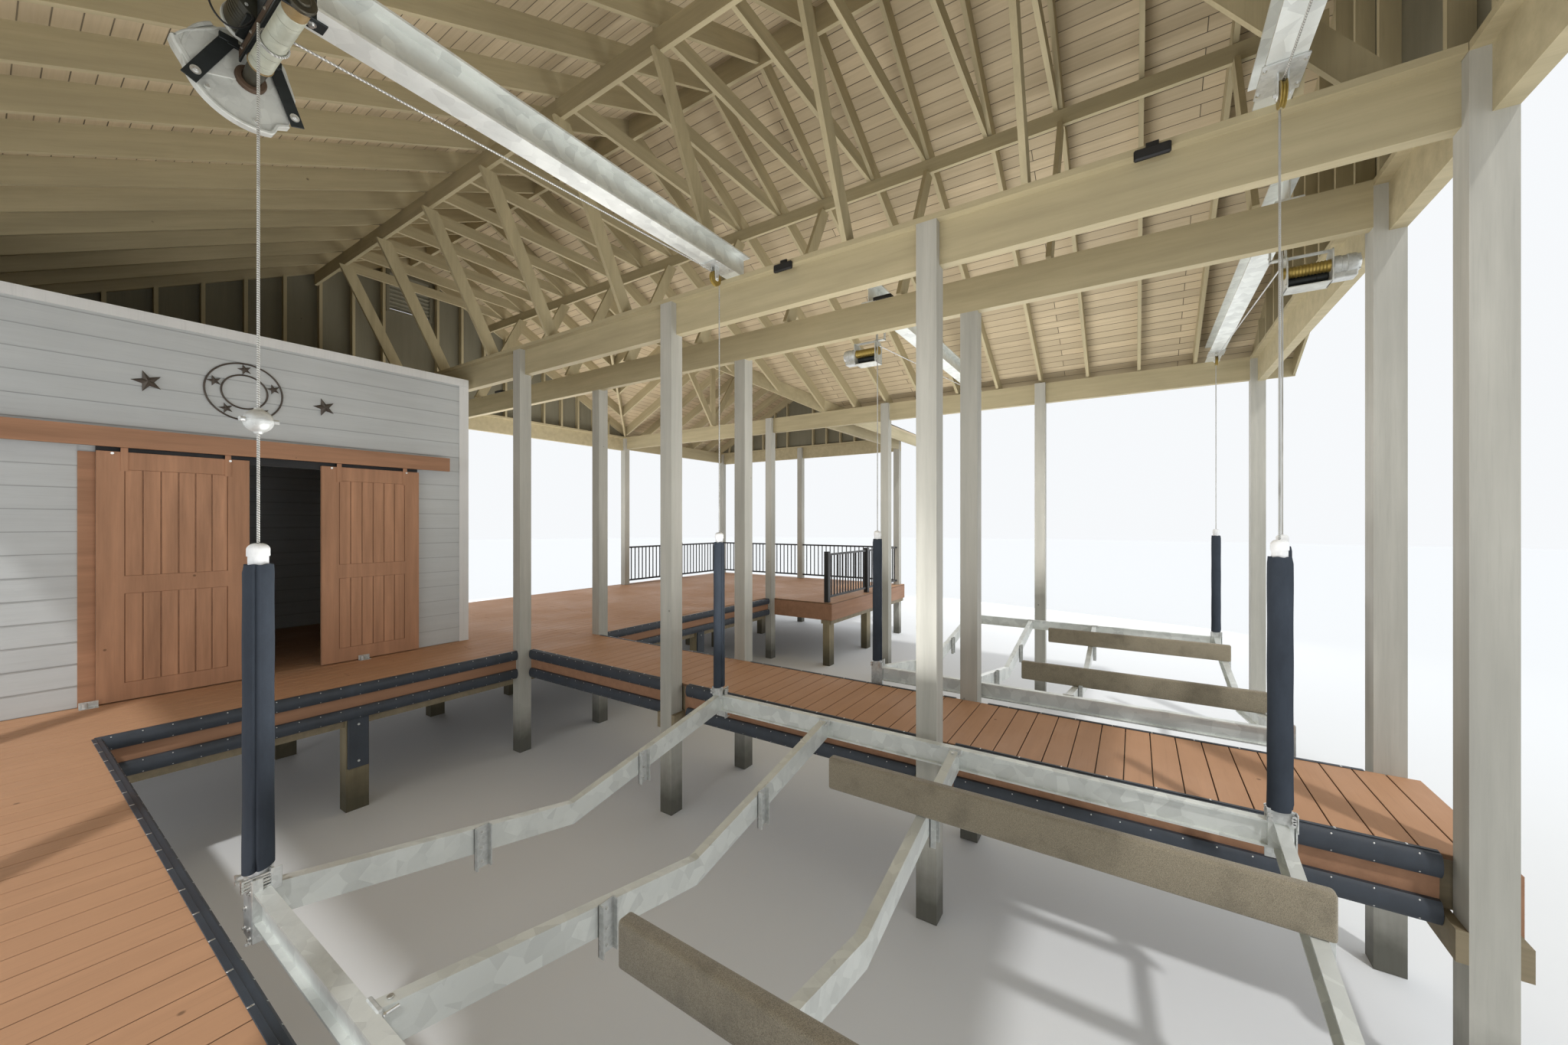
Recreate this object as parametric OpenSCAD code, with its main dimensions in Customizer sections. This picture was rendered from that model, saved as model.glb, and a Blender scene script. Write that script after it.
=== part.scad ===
// Two-slip boathouse on piles: timber frame, gable roof with a cross wing, store room, boat lifts.
// Plan axes while drawing: x across the slips from the near eave row of posts, y from the lake end
// towards land, z up from the water. plan() then moves the middle of the roof over the origin.

/* [Posts and bays] */
// Near eave row of posts to the first slip row, centre to centre
slip_rows = 4050; // [3800:10:4400]
// First to second slip row, across the middle walkway
aisle_rows = 1100; // [1000:10:1300]
// One bay of posts along the slips
bay = 2440; // [2200:20:2700]
// Side of a square timber post
post = 140; // [120:5:160]
// Side of a short pile under the dock
pile = 180; // [150:5:200]

/* [Beams] */
// Top of the beams above the water
beam_top = 4740; // [4500:10:5200]
// Depth of a beam ply
beam_d = 286; // [235:1:300]
// Thickness of a sawn board or ply
ply = 38; // [32:1:45]
// Thickness of the cap board on the slip and end beams
cap_t = 38; // [25:1:45]

/* [Roof] */
// Rise of the roof in 12 of run
pitch = 6; // [5:0.5:7]
// Depth of a common rafter
rafter_d = 184; // [182:1:200]
// Height of the rafter underside over the beam at its inner face
heel = 20; // [18:1:30]
// Depth of the ridge boards
ridge_d = 235; // [230:1:260]
// Depth of the valley rafters
valley_d = 235; // [210:1:250]
// Ridge to the middle of each purlin
purlin_run = 1280; // [1100:10:1500]
// Depth of the near purlin
near_purlin_d = 184; // [140:1:200]
// Depth of the far purlin
far_purlin_d = 140; // [120:1:184]
// Depth of ties and struts
tie_d = 140; // [110:1:160]
// Rafter tails beyond the posts
overhang = 325; // [250:5:400]
// Thickness of boards and roofing together
roof_t = 40; // [30:1:60]
// Thickness of the fascia boards
fascia_t = 25; // [18:1:30]
// Depth of the fascia boards
fascia_d = 230; // [200:5:260]
// Thickness of the gable boarding
gable_t = 25; // [18:1:30]
// Depth of the gable studs
stud_d = 89; // [70:1:89]
// Spacing of the gable studs
stud_gap = 406; // [350:1:450]
// Width and height of the opening in the land gable
vent = 600; // [400:10:700]

/* [Wing] */
// Rafter spaces from the far eave row to the wing's end posts
wing_spaces = 6; // [5:1:7]
// Rafter spaces across the wing
wing_width = 9; // [8:1:9]

/* [Dock] */
// Top of the deck above the water
deck_z = 1180; // [1000:10:1400]
// Thickness of the deck boards
deck_t = 25; // [20:1:35]
// Width of the near walkway from the post centres to the slip edge
walk_w = 940; // [850:10:1000]
// Depth of the joists
joist_d = 235; // [200:5:260]
// Depth of the cap boards on the piles
cap_d = 140; // [120:5:200]
// Depth of the fascia along the slip edges
edge_d = 300; // [280:5:320]
// Thickness of the edge bumpers
bumper_t = 45; // [30:1:50]
// Height of an edge bumper
bumper_h = 105; // [90:5:120]
// Height of the guard rail above the deck
rail_h = 915; // [850:5:1070]
// Side of a guard rail picket
picket = 20; // [16:1:25]
// Spacing of the pickets
picket_gap = 115; // [100:1:125]

/* [Store room] */
// Front wall from the land end posts, back to front
store_depth = 3160; // [2900:10:3400]
// Height of the walls above the deck
store_h = 3320; // [2900:10:3350]
// Thickness of the store room walls
wall_t = 115; // [90:5:140]
// Left wall's outer face to the doorway
door_x = 945; // [920:5:1000]
// Width of the doorway
door_w = 1815; // [1780:5:1830]
// Height of the doorway
door_h = 2080; // [2000:5:2100]
// Width of the trim boards on the store room
trim_w = 90; // [70:5:110]
// Thickness of the trim boards
trim_t = 20; // [15:1:22]

/* [Sliding doors] */
// Thickness of a door frame
leaf_t = 40; // [34:1:42]
// Thickness of the boards set into a door
leaf_board_t = 20; // [15:1:24]
// Width of the stiles and rails
stile = 145; // [120:5:160]
// Height of the header board
header_h = 160; // [140:5:200]
// Door bottom to deck
door_gap = 10; // [6:1:15]
// Right door's place along the track, from closed
door_slid = 540; // [400:10:700]

/* [Boat lifts] */
// Far cables of the second lift from the far row of posts
lift_b_side = 400; // [380:10:500]
// Depth of a hoist beam
hoist_d = 203; // [180:1:205]
// Width of a hoist beam
hoist_w = 143; // [120:1:146]
// Radius of the winding drums
drum_r = 40; // [35:1:44]
// Radius of the sheaves
sheave_r = 45; // [38:1:50]
// Length of a winder's rail from its cable
winder_reach = 310; // [300:5:340]
// First lift's drum axis below the hoist beam
drum_drop = 185; // [175:5:200]
// Second lift's drum axis below the hoist beam
winch_drop = 380; // [340:10:400]
// Radius of the gear housing
gear_r = 200; // [190:5:215]
// Radius of a lifting cable
cable_r = 5; // [4:0.5:6]
// Top of the cradle's corners above the water
cradle_z = 1290; // [1200:10:1350]
// Depth of the cradle beams
cradle_d = 125; // [110:5:150]
// Width of the cradle beams
cradle_w = 50; // [46:2:60]
// Fall of a cross beam from its end to the middle
cradle_fall = 280; // [200:10:340]
// Thickness of a carpeted bunk
bunk_t = 60; // [45:1:70]
// Height of a bunk
bunk_h = 180; // [150:5:200]
// Height of a guide post's padded cover
guide_h = 1230; // [1100:10:1300]
// Outer radius of a guide post's padded cover
guide_r = 48; // [44:1:52]

/* [Hidden] */
$fn = 32;

far = 20000;
seam = 2;
half = post / 2;
row_a = slip_rows;
row_b = slip_rows + aisle_rows;
row_c = row_b + slip_rows;
rafter_gap = bay / 4;
last_rafter = 19;
slips_y = 3 * bay;
land_y = last_rafter * rafter_gap;
ridge_x = row_c / 2;
beam_w = 2 * ply;
tongue = post - beam_w;
slope = pitch / 12;
rafter_v = rafter_d / cos(atan(slope));
eave_out = half + overhang + fascia_t;
near_face = beam_w - half;
far_face = row_c - near_face;
capped_top = beam_top - cap_t;
capped_bottom = capped_top - beam_d;
plain_bottom = beam_top - beam_d;
purlin_seat = under(ridge_x - purlin_run - ply / 2 - near_face);

wing_len = wing_spaces * rafter_gap;
wing_x = row_c + wing_len;
wing_w = wing_width * rafter_gap;
wing_y = land_y - wing_w;
wing_mid = wing_y + wing_w / 2;
wing_face = wing_y + near_face;
valley_x = far_face - (wing_mid - wing_face);

deck_under = deck_z - deck_t;
joist_z = deck_under - joist_d;
cap_z = joist_z - cap_d;
beside = half + ply;
lake_edge = -beside - fascia_t;
slip_end = slips_y + 10;
aisle_end = slips_y - 50;
mid_land_y = (slips_y + land_y) / 2;
land_edge = land_y + beside + fascia_t;
slip_mid = (walk_w + row_a - half) / 2;
slip_b_mid = (row_b + row_c) / 2;
edge_pile = walk_w - fascia_t - pile / 2;
wing_side = row_c + half - fascia_t;

store_x = half + 20;
store_right = row_a - half - 20;
store_front_y = land_y - store_depth;
store_back_y = land_y - half - 20;
store_top = deck_z + store_h;
opening_x = store_x + door_x;
door_z = deck_z + door_gap;
leaf_w = door_w / 2 - 3;
leaf_h = door_h + 10 - door_gap;
leaf_y = store_front_y - 30 - leaf_t;
header_z = door_z + leaf_h + 36;
strap_t = 6;
header_y = leaf_y - strap_t - 8 - ply;
track_t = 8;
track_top = header_z + 75;
wheel_r = 25;

// One lift: ends of its hoist beams, cable lines across, cable lines along
bow_a = 7 * rafter_gap - 180;
bow_b = 5.5 * rafter_gap;
lift_a = [near_face - 26, row_a + half, walk_w + 127, row_a - half - 180, rafter_gap + 95, bow_a];
lift_b = [row_b - half, far_face + 26, row_b + half + 70, row_c - lift_b_side, rafter_gap - 170, bow_b];
cable_top = beam_top - 140;
sheave_z = beam_top - 100;
cable_end = cradle_z - cradle_d + 20;

function under(d) = beam_top + heel + slope * d;
function roof_under(d) = under(d) + rafter_v;

module plan() translate([-wing_x / 2, -land_y / 2, 0]) children();
module box(a, b) translate(a) cube(b - a);
module along_y(y0, y1) translate([0, y1, 0]) rotate([90, 0, 0]) linear_extrude(height = y1 - y0) children();
module along_x(x0, x1) translate([x0, 0, 0]) rotate([90, 0, 90]) linear_extrude(height = x1 - x0) children();
module far_side() translate([2 * ridge_x, 0, 0]) mirror([1, 0, 0]) children();
module wing_land_side() translate([0, 2 * wing_mid, 0]) mirror([0, 1, 0]) children();
module land_end() translate([0, land_y, 0]) mirror([0, 1, 0]) children();

// Everything on the wing's side of the two valleys, grown by off square to them
module wing_footprint(off = 0) {
    tip = valley_x - off * sqrt(2);
    linear_extrude(height = far)
        polygon([[tip, wing_mid], [tip + far, wing_mid - far], [tip + far, wing_mid + far]]);
}

// Posts stand from the water to the beams, each notched where its beam rests
module post_block(x, y, top) box([x - half, y - half, 0], [x + half, y + half, top]);
module row_post(x, y, beam_x, bottom, top) difference() {
    post_block(x, y, top);
    box([beam_x, y - post, bottom], [beam_x + beam_w, y + post, far]);
}
module end_post(x, y, beam_y) difference() {
    post_block(x, y, capped_top);
    box([x - post, beam_y, capped_bottom], [x + post, beam_y + beam_w, far]);
}
module posts() color("silver") plan() {
    for (y = [bay, 2 * bay, slips_y]) {
        row_post(0, y, -half, plain_bottom, beam_top);
        row_post(row_a, y, row_a + half - beam_w, capped_bottom, capped_top);
        row_post(row_b, y, row_b - half, plain_bottom, beam_top);
        row_post(row_c, y, far_face, plain_bottom, beam_top);
    }
    for (x = [0, row_a, row_b, row_c]) {
        end_post(x, 0, -half);
        end_post(x, land_y, land_y - near_face);
    }
    for (y = [wing_y, wing_mid, land_y]) row_post(wing_x, y, wing_x - near_face, capped_bottom, capped_top);
}

// Beams of two plies; a cap board lies on those that carry hoists or gable walls
module beams() color("tan") plan() {
    y1 = land_y - half;
    box([-half, half, plain_bottom], [near_face, y1, beam_top]);
    box([row_a + half - beam_w, half, capped_bottom], [row_a + half, y1, capped_top]);
    box([row_b - half, half, plain_bottom], [row_b - half + beam_w, y1, beam_top]);
    box([far_face, half, plain_bottom], [row_c + half, y1, beam_top]);
    box([-half, -half, capped_bottom], [row_c + half, near_face, capped_top]);
    box([-half, land_y - near_face, capped_bottom], [row_c + half, land_y + half, capped_top]);
}
module wing_beams() color("tan") plan() {
    box([row_c + half, wing_y - half, plain_bottom], [wing_x - half, wing_face, beam_top]);
    box([row_c + half, land_y - near_face, plain_bottom], [wing_x - half, land_y + half, beam_top]);
    box([wing_x - near_face, wing_y - half, capped_bottom], [wing_x + half, land_y + half, capped_top]);
}
module beam_caps() color("tan") plan() {
    for (y = [0, land_y]) box([-half, y - half, capped_top], [row_c + half, y + half, beam_top]);
    box([row_a - half, half + seam, capped_top], [row_a + half, land_y - half - seam, beam_top]);
    box([wing_x - half, wing_y - half, capped_top], [wing_x + half, land_y + half, beam_top]);
}

// Common rafter in profile: level seat on the beam, plumb cuts at the tail and at the ridge
module rafter_profile(run) {
    tail = -half - overhang;
    top = run - ply / 2;
    polygon([
        [tail, under(tail - near_face)], [-half, under(-half - near_face)], [-half, beam_top],
        [near_face - heel / slope, beam_top], [top, under(top - near_face)],
        [top, roof_under(top - near_face)], [tail, roof_under(tail - near_face)]
    ]);
}
module near_rafters() for (k = [0:last_rafter])
    along_y(k * rafter_gap - ply / 2, k * rafter_gap + ply / 2) rafter_profile(ridge_x);
module main_rafters() color("tan") plan() {
    near_rafters();
    difference() {
        far_side() near_rafters();
        wing_footprint(ply / 2);
    }
}
module ridge_boards() color("tan") plan() {
    main_top = roof_under(ridge_x - ply / 2 - near_face);
    wing_top = roof_under(wing_w / 2 - ply / 2 - near_face);
    box([ridge_x - ply / 2, -ply / 2, main_top - ridge_d], [ridge_x + ply / 2, land_y + ply / 2, main_top]);
    box([valley_x, wing_mid - ply / 2, wing_top - ridge_d], [wing_x + ply / 2, wing_mid + ply / 2, wing_top]);
}
module purlin(depth) box([ridge_x - purlin_run - ply / 2, stud_d, purlin_seat - depth],
    [ridge_x - purlin_run + ply / 2, land_y - stud_d, purlin_seat]);
module purlins() color("tan") plan() {
    purlin(near_purlin_d);
    far_side() purlin(far_purlin_d);
}
module collar_ties() color("tan") plan() for (k = [3:last_rafter - 1]) {
    y = k * rafter_gap + ply / 2;
    reach = purlin_run + ply / 2;
    box([ridge_x - reach, y, purlin_seat], [ridge_x + reach, y + ply, purlin_seat + tie_d]);
}

// A leaning board in profile, cut level at both ends
module leaning(foot, head, head_z) {
    lean = atan(abs(head - foot) / (head_z - beam_top));
    w = tie_d / cos(lean) / 2;
    polygon([[foot - w, beam_top], [foot + w, beam_top], [head + w, head_z], [head - w, head_z]]);
}
module struts() color("tan") plan() {
    for (k = [1:2:last_rafter - 2]) along_y(k * rafter_gap - ply / 2, k * rafter_gap + ply / 2) {
        leaning(row_a, ridge_x - purlin_run, purlin_seat - near_purlin_d);
        leaning(row_b - half + beam_w / 2, ridge_x + purlin_run, purlin_seat - far_purlin_d);
    }
    brace_x = row_a + half - ply;
    along_x(brace_x, brace_x + ply) leaning(rafter_gap / 2, 3 * rafter_gap, under(brace_x - near_face));

    foot = row_c + half - beam_w / 2;
    wing_head = roof_under(wing_w / 2 - ply / 2 - near_face) - ridge_d;
    along_y(wing_mid - ply / 2, wing_mid + ply / 2) leaning(foot, foot, wing_head);
    for (side = [-1, 1]) translate([0, wing_mid + side * (ply + 0.5), 0]) along_y((1 - ply) / 2, (ply - 1) / 2)
        leaning(foot, row_c + side * 1.65 * rafter_gap, wing_head + 60);
}

// Wing: common rafters outside the far eave row, jack rafters down to the valleys inside it
module wing_rafter(x) translate([0, wing_y, 0]) along_x(x - ply / 2, x + ply / 2) rafter_profile(wing_w / 2);
module wing_side_rafters() for (x = [wing_x:-rafter_gap:valley_x + 2 * ply]) wing_rafter(x);
module wing_rafters() color("tan") plan() intersection() {
    union() {
        wing_side_rafters();
        wing_land_side() wing_side_rafters();
    }
    wing_footprint(-ply / 2);
}
module valley_rafter() {
    fall = slope / sqrt(2);
    deep = valley_d / cos(atan(fall));
    inner = (far_face - valley_x) * sqrt(2);
    tail = (half + overhang + near_face) * sqrt(2) - ply / 2 - seam;
    top = roof_under(0);
    difference() {
        translate([far_face, wing_face, 0]) rotate([0, 0, 135]) rotate([90, 0, 0])
            translate([0, 0, -ply / 2]) linear_extrude(height = ply)
                polygon([
                    [-tail, top - fall * tail - deep], [inner, top + fall * inner - deep],
                    [inner, top + fall * inner], [-tail, top - fall * tail]
                ]);
        box([row_c - half, 0, 0], [row_c + half, far, beam_top]);
        box([row_c, wing_y - half, 0], [wing_x, wing_y + half, beam_top]);
        box([0, wing_mid - ply / 2, 0], [wing_x, far, far]);
    }
}
module valley_rafters() color("tan") plan() {
    valley_rafter();
    wing_land_side() valley_rafter();
}

// Roof planes, boards and roofing in one thickness
module roof_plane(run) {
    low = roof_under(-eave_out - near_face);
    high = roof_under(run - near_face);
    polygon([[-eave_out, low], [run, high], [run, high + roof_t], [-eave_out, low + roof_t]]);
}
module main_plane() along_y(-eave_out, land_y + eave_out) roof_plane(ridge_x);
module wing_plane() intersection() {
    translate([0, wing_y, 0]) along_x(valley_x - 1, wing_x + eave_out) roof_plane(wing_w / 2);
    wing_footprint();
}
module near_roof() color("rosybrown") plan() main_plane();
module far_roof() color("rosybrown") plan() difference() {
    far_side() main_plane();
    wing_footprint();
}
module wing_lake_roof() color("rosybrown") plan() wing_plane();
module wing_land_roof() color("rosybrown") plan() wing_land_side() wing_plane();

// Fascia boards along the eaves and up the gables
module rake_half(run) {
    foot = fascia_t - eave_out + seam;
    low = roof_under(foot - near_face);
    high = roof_under(run - near_face);
    polygon([[foot, low - fascia_d], [run, high - fascia_d], [run, high], [foot, low]]);
}
module rake(width) {
    rake_half(width / 2);
    translate([width, 0]) mirror([1, 0]) rake_half(width / 2);
}
module roof_fascia() color("tan") plan() {
    top = roof_under(-eave_out - near_face);
    low = top - fascia_d;
    near = -eave_out;
    over = row_c + eave_out;
    lake = wing_y - eave_out;
    land = land_y + eave_out;
    box([near, near, low], [near + fascia_t, land, top]);
    box([over - fascia_t, near, low], [over, lake - seam, top]);
    box([over - fascia_t, lake, low], [wing_x + eave_out, lake + fascia_t, top]);
    box([over - fascia_t, land - fascia_t, low], [wing_x + eave_out, land, top]);
    along_y(near, near + fascia_t) rake(row_c);
    along_y(land - fascia_t, land) rake(row_c);
    translate([0, wing_y, 0]) along_x(wing_x + eave_out - fascia_t, wing_x + eave_out) rake(wing_w);
}

// Gable walls: boarding outside the end rafters, studs under them
module gable_profile(width) {
    low = roof_under(-half - near_face);
    polygon([[-half, beam_top], [width + half, beam_top], [width + half, low],
        [width / 2, roof_under(width / 2 - near_face)], [-half, low]]);
}
module gable_walls() color("dimgray") plan() {
    vent_z = purlin_seat - 180;
    along_y(-ply / 2 - gable_t, -ply / 2) gable_profile(row_c);
    difference() {
        along_y(land_y + ply / 2, land_y + ply / 2 + gable_t) gable_profile(row_c);
        box([ridge_x - vent / 2, land_y, vent_z], [ridge_x + vent / 2, land_y + post, vent_z + vent]);
        wing_footprint(ply / 2);
    }
    translate([0, wing_y, 0]) along_x(wing_x + ply / 2, wing_x + ply / 2 + gable_t) gable_profile(wing_w);
}
module stud_row(width) for (side = [-1, 1]) for (k = [1:floor(width / 2 / stud_gap)]) {
    mid = width / 2 - k * stud_gap;
    low = under(mid - ply / 2 - near_face);
    high = under(mid + ply / 2 - near_face);
    if (low > beam_top + 150) translate([side > 0 ? 0 : width, 0]) scale([side, 1]) translate([mid, 0])
        polygon([[-ply / 2, low], [-ply / 2, beam_top], [ply / 2, beam_top], [ply / 2, high]]);
}
module gable_studs() color("tan") plan() {
    along_y(-ply / 2, stud_d - ply / 2) stud_row(row_c);
    land_end() along_y(-ply / 2, stud_d - ply / 2) stud_row(row_c);
    translate([0, wing_y, 0]) along_x(wing_x + ply / 2 - stud_d, wing_x + ply / 2) stud_row(wing_w);
}

// Dock: piles, boards clamped across posts and piles, joists on them, decks on the joists
module pile_at(x, y) box([x - pile / 2, y - half, 0], [x + pile / 2, y + half, joist_z]);
module dock_piles() color("gray") plan() {
    wing_piles = [row_c + half + pile / 2, row_c + wing_len / 2];
    for (y = [0, bay, 2 * bay]) pile_at(edge_pile, y);
    for (x = [edge_pile, slip_mid, slip_b_mid]) {
        difference() {
            pile_at(x, slip_end + fascia_t + half);
            box([x - pile, slips_y + half, cap_z], [x + pile, slips_y + 2 * post, far]);
        }
        pile_at(x, mid_land_y);
        pile_at(x, land_y);
    }
    for (x = [half, row_a, row_b, row_c]) pile_at(x, mid_land_y);
    for (x = wing_piles) for (y = [wing_y, wing_mid, land_y]) pile_at(x, y);
}
module cap_board(x0, x1, y) box([x0, y - ply / 2, cap_z], [x1, y + ply / 2, joist_z]);
module cap_pair(x0, x1, y) for (side = [-1, 1]) cap_board(x0, x1, y + side * (half + ply / 2));
module pile_caps() color("tan") plan() {
    for (y = [0, bay, 2 * bay]) {
        cap_pair(-half, walk_w - fascia_t, y);
        cap_pair(row_a - half, row_b + half, y);
    }
    cap_board(-half, row_c + half, slips_y + half + ply / 2);
    cap_pair(-half, row_c + half, mid_land_y);
    for (y = [wing_y, wing_mid]) cap_pair(row_c + half, wing_x + beside, y);
    cap_pair(-half, wing_x + beside, land_y);
}
module joist(x, y0, y1) box([x - ply / 2, y0, joist_z], [x + ply / 2, y1, deck_under]);
module spread_joists(x0, x1, n, y0, y1) for (k = [0:n]) joist(x0 + k * (x1 - x0) / n, y0, y1);
module joists() color("tan") plan() {
    in = half + ply / 2;
    edge = fascia_t + ply / 2;
    lake = -beside;
    land = land_y + beside;
    inland = slip_end + fascia_t;
    spread_joists(in, walk_w - edge, 2, lake, land);
    spread_joists(row_a + half + edge, row_b - half - edge, 2, lake, land);
    spread_joists(walk_w + 2 * in, row_a - in, 5, inland, land);
    spread_joists(row_b + in, row_c - in, 7, inland, land);
    spread_joists(row_c + in, wing_x - in, 6, wing_y - beside, land);
    joist(wing_x + in, wing_y - beside, land);
}
module post_holes() {
    for (x = [0, row_a, row_b, row_c]) for (y = [0, bay, 2 * bay, slips_y, land_y]) post_block(x, y, far);
    for (y = [wing_y, wing_mid, land_y]) post_block(wing_x, y, far);
}
module walkway_decks() color("peru") plan() {
    box([half, lake_edge, deck_under], [walk_w, slip_end, deck_z]);
    box([row_a + half, lake_edge, deck_under], [row_b - half, slip_end, deck_z]);
}
module land_deck() color("peru") plan() difference() {
    box([half, slip_end, deck_under], [wing_side, land_edge, deck_z]);
    post_holes();
}
module wing_deck() color("peru") plan() difference() {
    box([wing_side, wing_y - beside - fascia_t, deck_under], [wing_x + beside + fascia_t, land_edge, deck_z]);
    post_holes();
}
module edge_board(x0, y0, x1, y1) box([x0, y0, deck_under - edge_d], [x1, y1, deck_under]);
middle_bays = [[beside, bay - beside], [bay + beside, 2 * bay - beside], [2 * bay + beside, aisle_end]];
slip_ends = [[walk_w, row_a - half], [row_b + half, row_c - half]];
module dock_fascia() color("saddlebrown") plan() {
    wing_lake = wing_y - beside;
    edge_board(half, lake_edge, walk_w, -beside);
    edge_board(row_a + half, lake_edge, row_b - half, -beside);
    edge_board(walk_w - fascia_t, seam - beside, walk_w, slip_end + fascia_t);
    for (s = slip_ends) edge_board(s[0] + seam, slip_end, s[1], slip_end + fascia_t);
    for (b = middle_bays) for (x = [row_a + half, row_b - half - fascia_t])
        edge_board(x, b[0] + seam, x + fascia_t, b[1] - seam);
    edge_board(wing_side, wing_lake - fascia_t, wing_side + fascia_t, slips_y - half);
    edge_board(wing_side + fascia_t + seam, wing_lake - fascia_t, wing_x + beside, wing_lake);
    edge_board(wing_x + beside + seam, wing_lake - fascia_t, wing_x + beside + fascia_t, land_edge);
    edge_board(half, land_edge - fascia_t, wing_x + beside, land_edge);
}
// Bumpers have a flat back and a rounded front
module bumper_section() intersection() {
    translate([bumper_t - bumper_h * 0.75, 0]) circle(r = bumper_h * 0.75, $fn = 48);
    translate([0, -bumper_h / 2]) square([bumper_t, bumper_h]);
}
module bumper(x, y, z, turn, length) translate([x, y, z]) rotate([90, 0, turn])
    linear_extrude(height = length) bumper_section();
module slip_bumpers() color("darkslategray") plan()
    for (z = [deck_z - bumper_h / 2, deck_z - 212 - bumper_h / 2]) {
        bumper(walk_w, slip_end - bumper_t - seam, z, 0, slip_end - bumper_t - seam - lake_edge);
        for (s = slip_ends) bumper(s[1] - seam, slip_end, z, -90, s[1] - s[0] - 2 * seam);
        for (b = middle_bays) {
            length = b[1] - b[0] - bumper_t - 2 * seam;
            bumper(row_b - half, b[1] - bumper_t - seam, z, 0, length);
            bumper(row_a + half, b[0] + seam, z, 180, length);
        }
    }

// Guard rail of the wing: rails between posts and newels, square pickets between the rails
module rail_along_x(x0, x1, y) {
    low = deck_z + 80;
    high = deck_z + rail_h - ply;
    n = floor((x1 - x0) / picket_gap);
    for (z = [low, high]) box([x0, y - ply / 2, z], [x1, y + ply / 2, z + ply]);
    for (k = [1:n - 1]) {
        x = x0 + k * (x1 - x0) / n;
        box([x - picket / 2, y - picket / 2, low + ply], [x + picket / 2, y + picket / 2, high]);
    }
}
module newel(x, y) box([x, y - stud_d / 2, deck_z], [x + stud_d, y + stud_d / 2, deck_z + rail_h + 40]);
module wing_rail() color("dimgray") plan() {
    mid = row_c + wing_len / 2;
    newel(row_c + half, wing_y);
    rail_along_x(row_c + half + stud_d, mid, wing_y);
    newel(mid, wing_y);
    rail_along_x(mid + stud_d, wing_x - half, wing_y);
    rail_along_x(row_c + half, mid, land_y);
    newel(mid, land_y);
    rail_along_x(mid + stud_d, wing_x - half, land_y);
    translate([wing_x, 0, 0]) rotate([0, 0, 90]) {
        rail_along_x(wing_y + half, wing_mid - half, 0);
        rail_along_x(wing_mid + half, land_y - half, 0);
    }
}

// Store room: front wall beside and over the doorway, side and back walls, ceiling, trim
module wall_block(x0, y0, z0, x1, y1) box([x0, y0, z0], [x1, y1, store_top]);
module store_front() color("gainsboro") plan() {
    wall_block(store_x, store_front_y, deck_z, opening_x, store_front_y + wall_t);
    wall_block(opening_x + door_w, store_front_y, deck_z, store_right, store_front_y + wall_t);
}
module store_lintel() color("gainsboro") plan()
    wall_block(opening_x, store_front_y, deck_z + door_h, opening_x + door_w, store_front_y + wall_t);
module store_walls() color("gainsboro") plan() {
    for (x = [store_x, store_right - wall_t])
        wall_block(x, store_front_y + wall_t, deck_z, x + wall_t, store_back_y - wall_t - seam);
    wall_block(store_x, store_back_y - wall_t, deck_z, store_right, store_back_y);
}
module store_ceiling() color("tan") plan()
    box([store_x + wall_t, store_front_y + wall_t, store_top - fascia_t],
        [store_right - wall_t, store_back_y - wall_t, store_top]);
module store_trim() color("white") plan() {
    y = store_front_y - trim_t;
    low = store_top - trim_w;
    box([store_x, y, low], [store_right + trim_t, store_front_y, store_top]);
    box([store_right - trim_w, y, deck_z], [store_right + trim_t, store_front_y, low - seam]);
    box([store_right, store_front_y, deck_z], [store_right + trim_t, store_front_y + trim_w, low - seam]);
}

// Track cover over the doors with the track inside, and boards beside the doorway
module door_frame() color("sienna") plan() {
    x0 = store_x + 20;
    x1 = store_right - 250;
    top = header_z + header_h;
    box([x0, header_y, header_z], [x1, header_y + ply, top]);
    box([x0, header_y + ply, top - 15], [x1, store_front_y, top]);
    box([x0, leaf_y + leaf_t / 2 - track_t / 2, track_top - 40],
        [x1, leaf_y + leaf_t / 2 + track_t / 2, track_top]);
    for (k = [0:4]) translate([x0 + k * (x1 - x0 - 30) / 4, 0, 0])
        box([0, leaf_y + leaf_t / 2 + track_t / 2, track_top - 35], [30, store_front_y, track_top - 10]);
    for (x = [opening_x - trim_w, opening_x + door_w])
        box([x, store_front_y - trim_t, deck_z], [x + trim_w, store_front_y, deck_z + door_h]);
}

// A leaf hangs from two wheels that run on the track
module leaf(x) {
    mid = 895;
    panels = [[stile, mid], [mid + stile, leaf_h - stile]];
    inside = (leaf_t - leaf_board_t) / 2;
    axle_z = track_top + 0.3 + wheel_r;
    translate([x, leaf_y, door_z]) difference() {
        cube([leaf_w, leaf_t, leaf_h]);
        for (p = panels) for (y = [inside - leaf_t, leaf_t - inside])
            translate([stile, y, p[0]]) cube([leaf_w - 2 * stile, leaf_t, p[1] - p[0]]);
    }
    for (u = [stile, leaf_w - stile]) {
        box([x + u - 20, leaf_y - strap_t, door_z + leaf_h - 160], [x + u + 20, leaf_y, axle_z + 15]);
        translate([x + u, leaf_y, axle_z]) across(8, 0, leaf_t / 2);
        translate([x + u, leaf_y + leaf_t / 2, axle_z]) across(wheel_r, -7, 7);
    }
}
module left_door() color("peru") plan() leaf(opening_x);
module right_door() color("peru") plan() leaf(opening_x + door_w - leaf_w + door_slid);

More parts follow.
